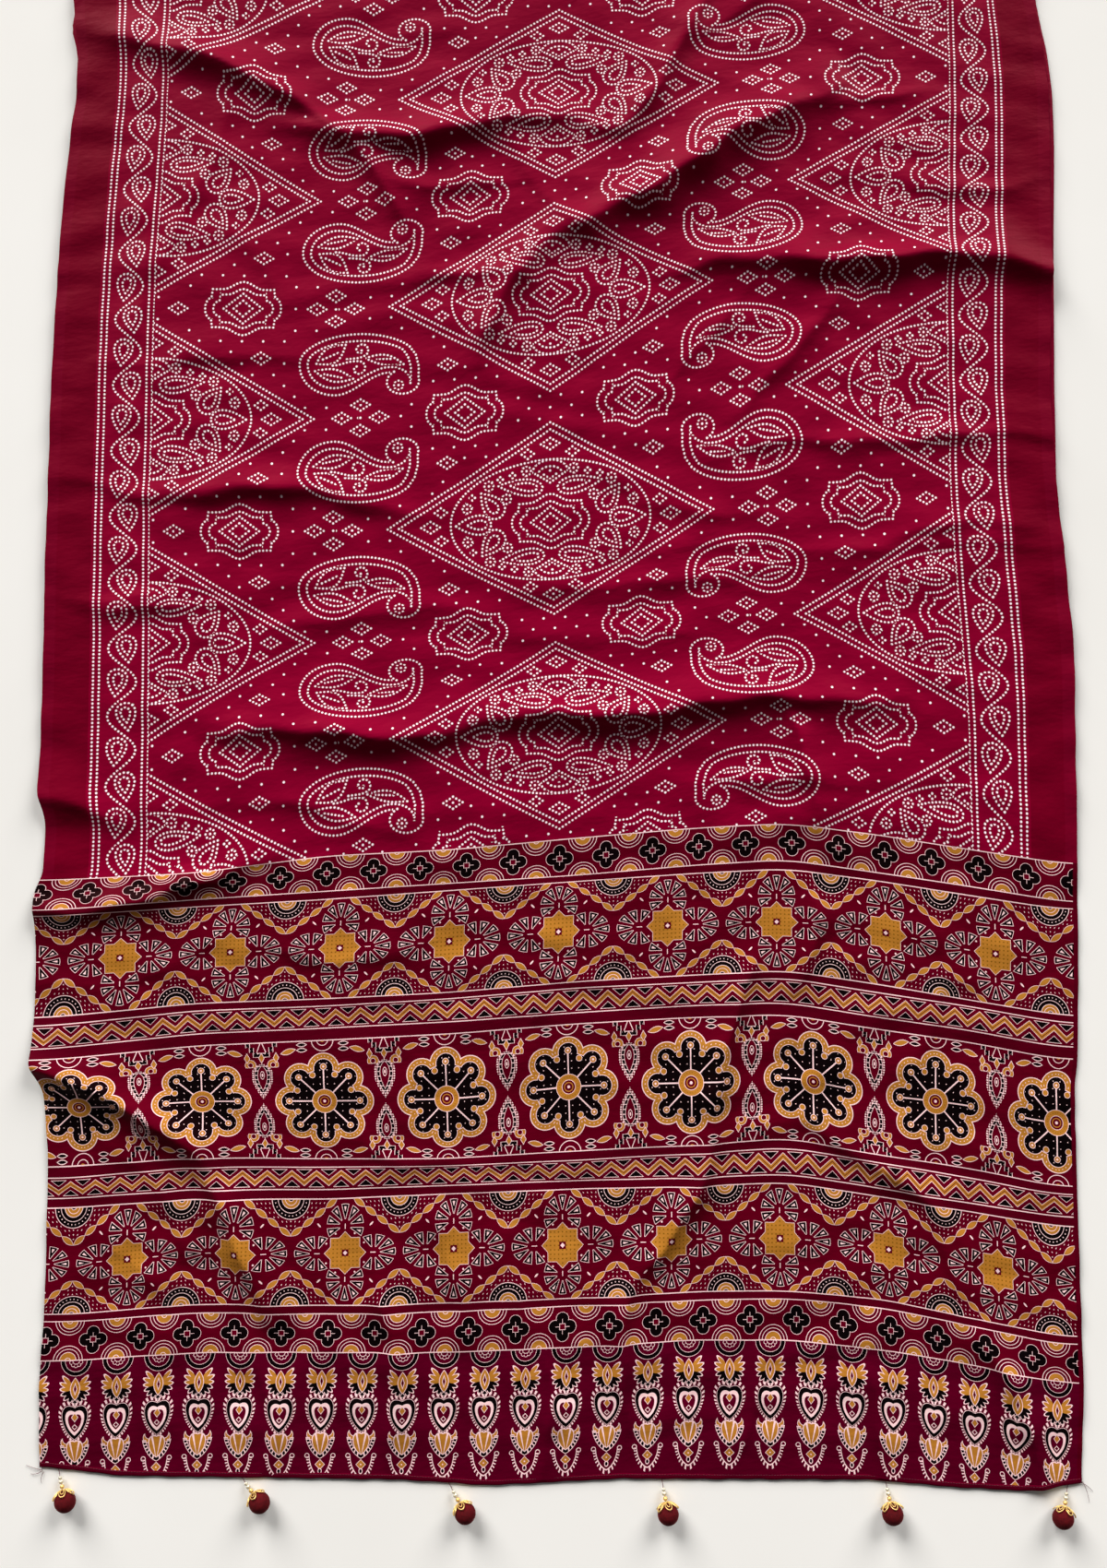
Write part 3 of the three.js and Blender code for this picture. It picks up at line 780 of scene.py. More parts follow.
def satin(paint, colour, u, v, mask=None):
    """Crepe satin: a fine uneven rib across the cloth, small crinkles, clouds of lighter
    and darker dye, and a soft sheen; pale where the mask says that the dots are undyed."""
    rib = paint.noise(paint.vector(u * (RIBS / 10), v * RIBS), 1.0, 2.0, 0.6)
    cloud = paint.noise(paint.vector(u * CLOUDS, v * CLOUDS), 1.0, 2.0)
    crinkle = paint.noise(paint.vector(u * 21 + v * 9, v * 46 - u * 7), 1.0, 3.0, 0.55)
    tone = paint.node("ShaderNodeHueSaturation", None, {
        "Color": rgba(colour),
        "Value": PLAIN_TONE + RIB_TONE * rib + CLOUD_TONE * cloud})[0]
    if mask is not None:
        tone = paint.mix(mask, tone, DOT_PALE)
    bump = paint.node("ShaderNodeBump", None, {
        "Strength": 1.0, "Distance": RELIEF, "Height": crinkle + 0.03 * rib})[0]
    return paint.finish(
        Base_Color=tone, Roughness=0.44 + 0.10 * rib, Normal=bump,
        Specular_IOR_Level=0.06, Specular_Tint=rgba("ff1c44"))


CRIMSON = "7d0026"
BORDER = "6a001c"
SELVEDGE = "6e0220"
MAROON = "570015"
STRIPE = "4e0013"
DEEP_MAROON = "50001a"
BLACK = "060506"
OCHRE = "b2752a"
DARK_OCHRE = "7e5412"
PINK = "f4ccce"
DOT_PALE = "ffecf4"
HEM_COLOUR = "4c0016"


def plain_cloth(name, colour):
    """Unprinted cloth in one colour of the dye."""
    paint = Paint(name)
    u, v = paint.cloth_place()
    return satin(paint, colour, u, v)


def dotted_cloth(name, colour, pitch, radius):
    """Cloth with pale dots where its own map of dots says: one every pitch along a row,
    or the single one if pitch is none; round, within radius of the dot's middle."""
    paint = Paint(name)
    along, beside = paint.map_place("Dots")
    if pitch:
        along = folded(along, pitch / 2)
    far = along * along + beside * beside
    mask = paint.clamped("MULTIPLY_ADD", far, -1 / radius, radius * 1.15)
    u, v = paint.cloth_place()
    return satin(paint, colour, u, v, mask)


# The pallu's inks: one number for each colour of the blocks
GROUND, GOLD, COAL, WHITE, BRONZE = 0.0, 1.0, 2.0, 3.0, 4.0
INK_STOPS = (0, 0.125, 0.375, 0.625, 0.875)
LINE_HALF = 0.34
EDGE_LINE = 1.1


def block_print(name, top, bottom, pitch, shift, draw, ground=MAROON, lined=True):
    """A band of the pallu from top to bottom, mm past its first line, its block repeated
    every pitch across and mirrored in itself: x from the block's middle, y down from the
    band's middle. If lined, a pale line runs along both of its edges."""
    paint = Paint(name)
    u, v = paint.cloth_place()
    x = folded(u.math("MULTIPLY_ADD", 1000, -shift), pitch / 2)
    y = v.math("MULTIPLY_ADD", -1000, -(top + bottom) / 2)
    ink = draw(x, y)
    if lined:
        edge = abs(y) > (bottom - top) / 2 - EDGE_LINE
        ink = paint.mix_numbers(edge, ink, WHITE)
    colours = (ground, OCHRE, BLACK, PINK, DARK_OCHRE)
    tone = paint.node("ShaderNodeValToRGB", {
        "stops": [(at, rgba(c)) for at, c in zip(INK_STOPS, colours)]}, [ink / BRONZE])[0]
    return satin(paint, tone, u, v)


def quatrefoils(x, y):
    """Black four-lobed flowers with a square eye, and gold half discs in rings between."""
    y = abs(y)
    most, least = x | y, x & y
    lobe = far_from(most, least, 8.2)
    disc = far_from(x, y, 25.75, 21.5)
    rings = near(disc, 8.8, LINE_HALF) | near(disc, 12.2, LINE_HALF) | near(disc, 15.6, 0.36)
    return printed(
        (lobe < 7.1, WHITE),
        (lobe < 6.6, COAL),
        ((near(most, 5.6, 2.2) & (least < 0.26)) | (most < 3.3), WHITE),
        (most < 2.8, GROUND),
        (disc < 8.8, GOLD),
        (rings | near(disc, 2.8, 0.4), WHITE))


def stars(x, y):
    """Gold eight-pointed stars with four fans of wedges each, ringed half circles at the
    corners in a field of fine dots, and a festoon of gold leaves round them."""
    y = abs(y)
    most, least = x | y, x & y
    tall = y * 1.09
    ahead, aside = x | tall, (x & tall) * 1.2
    fan = far_from(ahead, aside, 31.5)
    turn = turn_of(ahead, aside, 31.5)
    wedge = folded(turn, math.radians(18)) * fan - (fan - 5) * 0.27
    wedge = wedge | (fan - 24.5) | (7.5 - fan)
    open_way = turn < math.radians(122)
    seed = far_from((x + y - 59) / 3.8, (x - y + 1) / 1.3)
    star = (most / 16) & ((x + y) / 22.6)
    grain = far_from(folded(x, 2.2), folded(y, 2.2))
    far_x, far_y = 60 - x, 57 - y
    along = far_x * 0.802 - (far_y - 38) * 0.598
    beside = far_x * 0.598 + far_y * 0.802 - 30.5
    bead = folded(along - 7.95, 7.95)
    edge = abs(beside) - (1 - bead * bead / 56) * 2.8
    circle = far_from(far_x, far_y)
    grid = far_from(folded(far_x, 2.3), folded(far_y + far_x, 2.3))
    ring_dots = far_from(folded(turn_of(far_x, far_y) * 17.3, 2.1), circle - 17.3)
    lines = near(circle, 20.6, 0.36) | near(circle, 14.2, 0.3) | near(circle, 9.9, 0.36)
    return printed(
        ((wedge < 0) & open_way, WHITE),
        ((wedge < -0.62) & open_way, COAL),
        ((wedge < -2.9) & open_way, WHITE),
        (near(ahead, 31, 3) & (aside < 0.6), WHITE),
        ((seed < 1) | (far_from(most, least, 20.8, 10.6) < 1), WHITE),
        (star < 1.03, WHITE),
        (star < 1, GOLD),
        ((grain < 0.85) & (star < 0.93), BRONZE),
        (most < 3.7, GROUND),
        ((x + y) < 2.5, WHITE),
        (edge < 0.5, WHITE),
        (edge < 0, GOLD),
        ((grid < 0.6) & (beside < -4.2) & (circle > 22), WHITE),
        (near(circle, 10.45, 10.45), COAL),
        (lines | (ring_dots < 0.6), WHITE),
        (circle < 9.6, GOLD),
        (near(circle, 6.6, 0.32) | (circle < 3.2), WHITE),
        (circle < 2.6, COAL))


def wheel_flowers(x, y):
    """Black flowers of eight lobes in a gold rim with white spokes and buds; between them
    lace drops, stepped squares with gold tips, leaves and little tufts."""
    y = abs(y)
    reach = far_from(x, y)
    angle = turn_of(x, y)
    turn = folded(angle, math.pi / 8)
    out, off = reach * cosine(turn), reach * sine(turn)
    rim = (far_from(out, off, 37) - 17) & (reach - 42.5)
    gap_x = 67.5 - x
    share = (y - 3) / 41
    lace = gap_x - share * root(1 - share) * 30
    pearls = far_from(folded(gap_x, 1.3), folded(y, 1.3))
    horn = far_from(gap_x, y, 12.5, 43)
    dots = far_from(folded(gap_x, 2), folded(y, 2))
    step = gap_x - ((y - 52) / 5.5).math("FLOOR") * 4 - 9
    square = step | (52 - y)
    tips = (abs(gap_x - 16) & gap_x)
    tips = tips - (1 - abs(y - 51) / 5.5) * 3
    blade = (x - 38) / 8
    blade = abs(y - 57 + (x - 38) * 0.25) - (1 - blade * blade) * 2.8
    sprig = (x - 23) / 5.5
    sprig = abs(abs(y - 61) - 3) - (1 - sprig * sprig) * 2
    tuft = far_from(x, y, 0, 68.5)
    grains = far_from(folded(angle * 42, 1.7), rim + 3.4)
    sparks = far_from(folded(x - 3.9, 3.9), folded(y - 3.9, 3.9))
    drop_eye = far_from(out, off, 29.8, 12.3)
    bud = far_from(out, off, 39)
    core = far_from(folded(angle * 10.4, 1.5), reach - 10.4)
    return printed(
        ((lace < 0.3) & (pearls < 0.95), WHITE),
        (lace < -2.6, WHITE),
        ((lace < -3.1) & (folded(y, 2.6) > 0.4), COAL),
        (lace < -5.9, WHITE),
        (lace < -6.4, GROUND),
        (far_from(gap_x / 2.4, (y - 31) / 5) < 1, WHITE),
        (far_from(gap_x / 1.8, (y - 31) / 4) < 1, GROUND),
        (far_from(gap_x / 0.9, (y - 31) / 2) < 1, WHITE),
        (near(horn, 4.4, 1.9) & (y > 40), WHITE),
        (near(horn, 4.4, 1.4) & (y > 40.4), GOLD),
        (square < 0.3, WHITE),
        (square < -0.4, COAL),
        (((dots < 0.62) & (square < -1.2)) | (square < -4.2), WHITE),
        (square < -4.9, GROUND),
        (near(gap_x + (y - 70) * 0.4, 0, 0.5) & (square < -5), WHITE),
        (tips < 0.4, WHITE),
        (tips < -0.3, GOLD),
        (blade < 0.5, WHITE),
        (blade < -0.2, GOLD),
        (sprig < 0.5, WHITE),
        (sprig < -0.4, COAL),
        (near(tuft, 12, 0.45) | (near(tuft, 6, 0.4)), WHITE),
        (tuft < 2.4, GOLD),
        (rim < 0.5, WHITE),
        (rim < -0.5, GOLD),
        ((grains < 0.5) | (rim < -6), WHITE),
        (rim < -6.7, COAL),
        ((sparks < 0.55) & (rim < -8), WHITE),
        (drop_eye < 3.4, WHITE),
        (drop_eye < 2.8, GOLD),
        ((near(out, 24.5, 11.5) & (off < 0.75)) | (bud < 3.6), WHITE),
        (bud < 3, GOLD),
        ((bud < 1.2) | (reach < 13.8), WHITE),
        (reach < 13.2, GOLD),
        (core < 0.5, BRONZE),
        (reach < 7.6, WHITE),
        (reach < 7, GROUND),
        (near(reach, 4.6, 0.5), GOLD),
        (reach < 1.6, WHITE))


def zigzags(x, y):
    """A gold zigzag of two strands with pale edges, small black triangles in its bends."""
    off = y - (x / 6.8 - 1) * 6.2
    away = abs(off)
    bend = (away - 9.0) & (10.9 - abs(y))
    return printed(
        (near(away, 3.3, 0.36), WHITE),
        (near(away, 1.75, 1.2), GOLD),
        (bend > 0, WHITE),
        (bend > 0.6, COAL))


def pendants(x, y):
    """Hanging drops: a crescent with a small flower, a feather fan with a pointed eye, a
    heart, two horns over a shell with a leaf in it, and a comb-edged drop, one under
    another; y here runs from 65.5 mm above the band's middle."""
    y = y + 65.5
    moon = far_from(x, y)
    petal_turn = folded(turn_of(y, x), math.radians(18))
    petal = far_from(moon * cosine(petal_turn), moon * sine(petal_turn), 5.4)
    up = 30.5 - y
    spread = far_from(x, up)
    turn = turn_of(up, x)
    tip = spread - 15.8 - (up | 0) * 0.28
    feather = far_from(folded(turn, math.radians(11)) * spread / 2.6, (tip + 7) / 7.6)
    fan = (turn > math.radians(33)) & (moon > 16.8)
    lens_y = (y - 30) / 11.5
    lens = x / 4.9 + lens_y * lens_y
    slit = x / 1.7 + abs(y - 30) / 5.4
    spade = (x * 1.1 + abs(y - 44.2)) & (x * 2 + abs(y - 49) + 2.1)
    heart = far_from(x / 13.4, (y - 66 + x * 0.62) / 16)
    comb = folded(turn_of(x, y, 0, 66) * 15, 1.6)
    bloom = x * 1.3 + abs(y - 59.5)
    jewel = x + abs(y - 69.5)
    horn = (far_from(x, y, 9.2, 85.2) - 5.9) | (5.3 - far_from(x, y, 7.6, 81.4))
    shell = far_from(x / 16.3, (y - 91 + x * 0.45) / 20)
    rows = folded(turn_of(x, y, 0, 90) * 14, 1.9)
    leaf_edge = far_from(x / 9.2, (y - 95.5 + x * 0.5) / 11.5)
    rib = folded(turn_of(109 - y, x), math.radians(12))
    cup = far_from(x / 12.2, (y - 110.5 + x * 0.35) / 20)
    ticks = folded(turn_of(x, y, 0, 112) * 13.5, 1.6)
    low = y > 108.6
    seed = far_from(x / 2.2, (y - 123.8) / 3.1)
    return printed(
        (petal < 2.2, WHITE),
        (petal < 1.65, GROUND),
        (near(moon, 14, 2.5), WHITE),
        (near(moon, 14, 2.05), COAL),
        ((feather < 1) & fan, WHITE),
        ((feather < 0.78) & fan, GOLD),
        ((feather < 0.80) & (turn > math.radians(99)), COAL),
        (lens < 1.1, WHITE),
        (lens < 0.95, GOLD),
        (slit < 1.3, WHITE),
        (slit < 0.9, GROUND),
        (spade < 4.1, WHITE),
        (spade < 3.3, COAL),
        (near(heart, 1.2, 0.1) & (comb < 0.75), WHITE),
        (heart < 1.05, WHITE),
        (heart < 1.02, COAL),
        (heart < 0.76, WHITE),
        (heart < 0.54, GROUND),
        (bloom < 5, WHITE),
        (bloom < 4, GOLD),
        (near(jewel, 2.6, 0.5), WHITE),
        ((far_from(x, y, 3.8, 82) < 0.85) | (far_from(x, y, 6.9, 79.2) < 0.85), WHITE),
        (horn < 0, WHITE),
        (horn < -0.65, GOLD),
        (near(shell, 0.86, 0.14) & (y > 88), WHITE),
        (near(shell, 0.86, 0.10) & (rows > 0.6) & (y > 89), COAL),
        (leaf_edge < 1, WHITE),
        ((leaf_edge < 0.9) & (rib < math.radians(9.4)), GOLD),
        (near(far_from(x, y, 14.2, 107.6), 2.3, 0.42), WHITE),
        (low & (near(cup, 0.98, 0.035) | (near(cup, 1.13, 0.12) & (ticks < 0.6))), WHITE),
        (x + abs(y - 117) < 5.6, WHITE),
        (near(x + abs(y - 117), 2.9, 1.9), GOLD),
        (seed < 1, WHITE),
        (seed < 0.66, COAL))


# The body's drawing, mm: every line of it is a row of small round dots
DOT_PITCH = 4.2
DOT_RADIUS = 1.38
SPOT_RADIUS = 1.5
DOT_REACH = 4.4
NO_DOT = 9.0
LEAST_STEP = 0.6
FIELD_HALF = STRIP_INNER / MM
REPEAT_HALF = 127.5
FIRST_MEDALLION = 122.0
VINE_PERIOD = 75.0
STRIP_MIDDLE = 487.0
STRIP_REACH = 520.0
STRIP_OVERLAP = 2.0
SELVEDGE_START = 557.5
MEDALLION_WIDE, MEDALLION_HIGH = 186, 110
CARTOUCHES = ((355, 0), (98, REPEAT_HALF))
PAISLEY_CORNER = (296, 1.3)
SMALL_FIGURE = 30
FILLER_GAP = 6.5


class Drawing:
    """Faces of the cloth, each with the row of dots that lies nearest to its middle."""

    def __init__(self, x, y):
        self.x, self.y = x, y
        self.middle = np.stack([x.mean(axis=1), y.mean(axis=1)], axis=-1)
        self.best = np.full(len(x), DOT_REACH ** 2)
        self.along = np.full(x.shape, NO_DOT)
        self.beside = np.full(x.shape, NO_DOT)
        self.kind = np.zeros(len(x), int)

    def row(self, path):
        """A row of dots along a path: each face near it is laid along the path's nearest
        straight bit, or on the end dot alone where the face lies past the end."""
        steps = np.hypot(*np.diff(path, axis=0).T)
        path = path[np.concatenate([[True], steps > LEAST_STEP])]
        way = np.diff(path, axis=0)
        length = np.hypot(way[:, 0], way[:, 1])
        start = np.concatenate([[0], np.cumsum(length)])
        scale = max(1, round(start[-1] / DOT_PITCH)) * DOT_PITCH / start[-1]
        closed = np.allclose(path[0], path[-1])
        low, high = path.min(axis=0) - DOT_REACH, path.max(axis=0) + DOT_REACH
        inside = np.flatnonzero(((self.middle > low) & (self.middle < high)).all(axis=1))
        if not len(inside):
            return
        gap = self.middle[inside, None] - path[None, :-1]
        share = np.clip((gap * way).sum(axis=-1) / length ** 2, 0, 1)
        distance = ((gap - share[..., None] * way) ** 2).sum(axis=-1)
        pick = distance.argmin(axis=1)
        share = share[np.arange(len(inside)), pick]
        least = distance[np.arange(len(inside)), pick]
        closer = least < self.best[inside]
        faces, pick, share = inside[closer], pick[closer], share[closer]
        self.best[faces] = least[closer]
        towards = way[pick] / length[pick][:, None]
        dx = self.x[faces] - path[pick, 0][:, None]
        dy = self.y[faces] - path[pick, 1][:, None]
        along = dx * towards[:, :1] + dy * towards[:, 1:]
        self.beside[faces] = dy * towards[:, :1] - dx * towards[:, 1:]
        first = (pick == 0) & (share == 0) & (not closed)
        last = (pick == len(way) - 1) & (share == 1) & (not closed)
        whole = (along + start[pick][:, None]) * scale
        at_last = along - length[pick][:, None]
        self.along[faces] = np.where(first[:, None], along,
                                     np.where(last[:, None], at_last, whole))
        self.kind[faces] = np.where(first | last, 2, 1)

    def spot(self, x, y):
        """One dot by itself."""
        gap = self.middle - (x, y)
        least = (gap ** 2).sum(axis=1)
        faces = np.flatnonzero(least < self.best)
        self.best[faces] = least[faces]
        self.along[faces], self.beside[faces] = self.x[faces] - x, self.y[faces] - y
        self.kind[faces] = 2


def line(ax, ay, bx, by):
    """A straight row."""
    return np.array([(ax, ay), (bx, by)], float)


def arc(cx, cy, rx, ry, start, end, steps=24):
    """Part of an ellipse: (cx + rx cos a, cy + ry sin a), a from start to end, degrees."""
    a = np.radians(np.linspace(start, end, steps + 1))
    return np.stack([cx + rx * np.cos(a), cy + ry * np.sin(a)], axis=-1)


def swing(ax, ay, bx, by, steps=20):
    """A gentle S: x even from a to b, y eased by (1 - cos(pi t)) / 2."""
    t = np.linspace(0, 1, steps + 1)
    return np.stack([ax + (bx - ax) * t, ay + (by - ay) * (1 - np.cos(np.pi * t)) / 2], -1)


def drop(ax, ay, bx, by, half, steps=36):
    """A teardrop from its round end a to its tip b: (1 - cos t) / 2 along the way and
    1.3 half sin t cos(t / 2) beside it."""
    t = np.linspace(-np.pi, np.pi, steps + 1)
    along, beside = (1 - np.cos(t)) / 2, 1.3 * half * np.sin(t) * np.cos(t / 2)
    length = math.hypot(bx - ax, by - ay)
    wx, wy = (bx - ax) / length, (by - ay) / length
    return np.stack([ax + (bx - ax) * along - wy * beside,
                     ay + (by - ay) * along + wx * beside], axis=-1)


def leaf(ax, ay, bx, by, over, under, steps=14):
    """The two sides of a leaf, pointed at both ends: sin(pi t) x over and x under."""
    t = np.linspace(0, 1, steps + 1)
    length = math.hypot(bx - ax, by - ay)
    wx, wy = (bx - ax) / length, (by - ay) / length
    return [np.stack([ax + (bx - ax) * t - wy * half * np.sin(np.pi * t),
                      ay + (by - ay) * t + wx * half * np.sin(np.pi * t)], axis=-1)
            for half in (over, -under)]


def curl(cx, cy, size, start, end, steps=28):
    """A spiral opening quickly: radius x (1 - (1 - t) cubed), angle from start to end."""
    t = np.linspace(0.12, 1, steps + 1)
    a = np.radians(start + (end - start) * t)
    r = size * (1 - (1 - t) ** 3)
    return np.stack([cx + r * np.cos(a), cy + r * np.sin(a)], axis=-1)


def diamond(cx, cy, wide, high):
    """Four straight rows from corner to corner."""
    corners = [(cx + wide, cy), (cx, cy + high), (cx - wide, cy), (cx, cy - high)]
    return [line(*a, *b) for a, b in zip(corners, corners[1:] + corners[:1])]


def cartouche(cx, cy):
    """A diamond in a diamond in two wavy frames: each frame bulges over its four sides
    and has a corner between them."""
    paths = diamond(cx, cy, 22.5, 17) + diamond(cx, cy, 11, 9)
    for wide, high, corner_x, corner_y in ((44, 31, 35.5, 21.5), (34.5, 22.5, 26, 15.5)):
        side = arc(corner_x, 0, wide - corner_x, corner_y * 0.58, 0, 80, 8)
        cover = swing(corner_x * 0.66, corner_y + 0.5, 0, high, 10)
        quarter = np.concatenate([side, [(corner_x, corner_y)], cover])
        for mirror in ((1, 1), (-1, 1), (-1, -1), (1, -1)):
            paths.append(quarter * mirror + (cx, cy))
    return paths


def medallion():
    """One quarter of the medallion from its centre: two straight outlines, an oval, the
    cartouche, three double petals, a double leaf, ring flowers, diamonds, a small fan."""
    paths = [line(MEDALLION_WIDE, 0, 0, MEDALLION_HIGH), line(173, 0, 0, 102.4),
             arc(0, 0, 114, 69, 0, 90, 40)]
    paths += [drop(68, 0, 108, 0, 11), drop(73, 0, 95, 0, 5.2),
              drop(56, 9, 79, 36, 11.5), drop(61, 14, 74, 30, 5.4),
              drop(9, 38, 59, 43, 9.2), drop(15, 39, 45, 42.5, 4.4)]
    paths += [arc(x, y, 5.1, 5.1, 0, 360, 12) for x, y in
              ((95, 19), (50, 28), (70, 43.5), (27, 58))]
    paths += [line(0, 44, 14, 52.5), arc(0, 52.5, 14, 9, 0, 90, 8), line(14, 52.5, 20, 56),
              arc(0, 56, 20, 12.5, 0, 90, 10), line(0, 48, 7, 53)]
    paths += diamond(0, 86.5, 10.6, 6.5) + diamond(137, 0, 10.6, 6.5)
    paths += diamond(25.5, 76.5, 7, 5.2) + diamond(125, 16, 7, 5.2)
    spots = [(0, 86.5), (137, 0), (95, 19), (50, 28), (70, 43.5), (27, 58), (0, 57)]
    for x, y in ((89, 31.5), (57, 50), (43, 54)):
        spots += [(x - 3, y), (x + 3, y), (x, y - 2.8), (x, y + 2.8)]
    return paths + cartouche(0, 0), spots


def paisley():
    """A paisley in mm from the corner of its box: round end, tail curling under round a
    ring flower, an outline within, three leaves with midribs, and two curls."""
    paths = [np.concatenate([swing(111.3, 75, 48.1, 99.4), arc(48.1, 64.7, 40.4, 34.6, 90, 180),
                             arc(75.6, 64.7, 68, 35.8, 180, 328), [(141, 56), (144.6, 70)],
                             arc(126.4, 86.3, 18.5, 14.2, -14, 236)]),
             np.concatenate([swing(109.9, 69, 48.1, 91.2), arc(48.1, 63.8, 31.2, 27.5, 90, 180),
                             arc(76, 63.8, 59.2, 27, 180, 328), [(132, 58), (135.6, 70)],
                             arc(109.9, 86.3, 25.3, 17.4, -4, -90)])]
    paths += leaf(27, 62.8, 60, 41, 10.5, 8) + leaf(25.3, 71.4, 69.2, 81, 7.5, 6.5)
    paths += leaf(83, 57.4, 127, 66.7, 4, 7.5)
    paths += [line(34.3, 57.9, 51, 50.5), line(35.8, 75, 55.4, 79.3),
              line(91.7, 58.4, 111.8, 59.6)]
    paths += [np.concatenate([curl(78.5, 48.1, 7.6, 60, 410), [(76.5, 56.6), (61.8, 57.9)]]),
              np.concatenate([curl(75, 68.3, 7.8, 260, -90), swing(71, 60.3, 45.6, 65, 8)])]
    paths += [arc(121.4, 90.2, 5.1, 5.1, 0, 360, 12)]
    return paths, [(121.4, 90.2), (78.5, 48.1)]


def field_drawing():
    """Rows and single dots of one quarter of the field's repeat, mm: from the middle of a
    medallion to the border, and to halfway between two rows of medallions."""
    paths, spots = medallion()
    far = [FIELD_HALF, REPEAT_HALF] - np.array(spots)
    paths = paths + [np.array([FIELD_HALF, REPEAT_HALF]) - path for path in paths]
    spots = spots + [tuple(p) for p in far]
    leaves, centres = paisley()
    corner_x, corner_y = PAISLEY_CORNER
    paths += [path * (-1, 1) + PAISLEY_CORNER for path in leaves]
    spots += [(corner_x - x, y + corner_y) for x, y in centres]
    for place in CARTOUCHES:
        paths += cartouche(*place)
    single = [(333, 58), (118, 72), (430, 0)]
    for x, y in ((248, 0), (218, REPEAT_HALF)):
        spots.append((x, y))
        single += [(x - 21.5, y), (x + 21.5, y), (x, y - 15), (x, y + 15)]
    for x, y in single:
        paths += diamond(x, y, 10.6, 6.5)
        spots.append((x, y))
    return paths, spots


def filler_dots(drawing_paths):
    """Single dots on a staggered lattice, 24.5 by 12.75 mm, wherever no figure lies."""
    i, j = np.meshgrid(np.arange(0, 20), np.arange(0, 11))
    x = 24.5 * i + 12.25 * (j % 2)
    y = 12.75 * j
    x, y = x.ravel(), y.ravel()
    taken = x > FIELD_HALF - 4
    for away_x, away_y in ((x, y), (FIELD_HALF - x, REPEAT_HALF - y)):
        taken |= away_x / MEDALLION_WIDE + away_y / MEDALLION_HIGH < 1.06
    taken |= ((x - 222) / 78) ** 4 + ((y - 66) / 42) ** 4 < 1
    for cx, cy in CARTOUCHES:
        taken |= (abs(x - cx) < 51) & (abs(y - cy) < 37)
    for path in drawing_paths:
        if np.ptp(path, axis=0).max() < SMALL_FIGURE:
            low, high = path.min(axis=0) - FILLER_GAP, path.max(axis=0) + FILLER_GAP
            taken |= (x > low[0]) & (x < high[0]) & (y > low[1]) & (y < high[1])
    return np.stack([x[~taken], y[~taken]], axis=-1)


def strip_drawing():
    """One period of the border strip, mm from the strip's middle: four straight rows, a
    vine, 15 sin(2 pi y / 75), and a double drop in each of its bends."""
    y = np.linspace(0, VINE_PERIOD, 49)
    paths = [line(x, 0, x, VINE_PERIOD) for x in (-29.5, -23.2, 23.2, 29.5)]
    paths.append(np.stack([15 * np.sin(TAU * y / VINE_PERIOD) - 1, y], axis=-1))
    for middle, lean, at in ((-4.5, -3.5, 18.75), (2.5, 3.5, 56.25)):
        paths.append(drop(middle, at + 14, middle + lean, at - 15.5, 10.2))
        paths.append(drop(middle, at + 9, middle + lean * 0.6, at - 7, 5.0))
    return paths


def body_print(u, v):
    """Finish and dot places of each face of the body cloth. The field is folded about the
    middle line and about each row of medallions; the strip repeats with its vine."""
    us, vs = corner_values(u) / MM, corner_values(v) / MM
    side = np.where(us.mean(axis=1) < 0, -1, 1)[:, None]
    x = us * side
    middle = x.mean(axis=1)
    cell = np.floor((vs.mean(axis=1) - FIRST_MEDALLION) / REPEAT_HALF)[:, None]
    rest = vs - FIRST_MEDALLION - cell * REPEAT_HALF
    y = np.where(cell % 2 == 0, rest, REPEAT_HALF - rest)
    finish = np.where(middle > SELVEDGE_START, SELVEDGE_FINISH, BORDER_FINISH)
    places = np.full((len(x), 4, 2), NO_DOT)

    inside = np.flatnonzero(middle < FIELD_HALF - STRIP_OVERLAP)
    field = Drawing(x[inside], y[inside])
    paths, spots = field_drawing()
    for path in paths:
        field.row(path)
    for spot in [*spots, *filler_dots(paths)]:
        field.spot(*spot)
    strip = np.flatnonzero((middle >= FIELD_HALF - STRIP_OVERLAP) & (middle < STRIP_REACH))
    turn = np.floor(vs[strip].mean(axis=1) / VINE_PERIOD)[:, None]
    border = Drawing(x[strip] - STRIP_MIDDLE, vs[strip] - turn * VINE_PERIOD)
    for path in strip_drawing():
        border.row(path)
    for faces, drawing in ((inside, field), (strip, border)):
        finish[faces] = drawing.kind
        places[faces] = np.stack([drawing.along, drawing.beside], axis=-1)
    return finish.reshape(u.shape[0] - 1, -1), places.reshape(u.shape[0] - 1, -1, 4, 2)


def corner_values(grid):
    """Values at each face's four corners, in the order of its corners."""
    return np.stack([grid[:-1, :-1], grid[:-1, 1:], grid[1:, 1:], grid[1:, :-1]],
                    axis=-1).reshape(-1, 4)


def middles(grid):
    """Values at the middles of a grid's faces."""
    return (grid[:-1, :-1] + grid[1:, :-1] + grid[:-1, 1:] + grid[1:, 1:]) / 4


# Camera: straight above, tipped 5 degrees towards the far end
CAMERA_PLACE = (-0.005, -0.2585, 1.70994)
CAMERA_TIP = math.radians(5)
LONG_SIDE_VIEW = math.radians(54)

view = bpy.data.cameras.new("camera")
view.sensor_width = 36
view.lens = view.sensor_width / 2 / math.tan(LONG_SIDE_VIEW / 2)
view.clip_start, view.clip_end = 0.02, 50
camera = bpy.data.objects.new("camera", view)
camera.location = CAMERA_PLACE
camera.rotation_euler = (CAMERA_TIP, 0, 0)
bpy.context.scene.collection.objects.link(camera)
bpy.context.scene.camera = camera

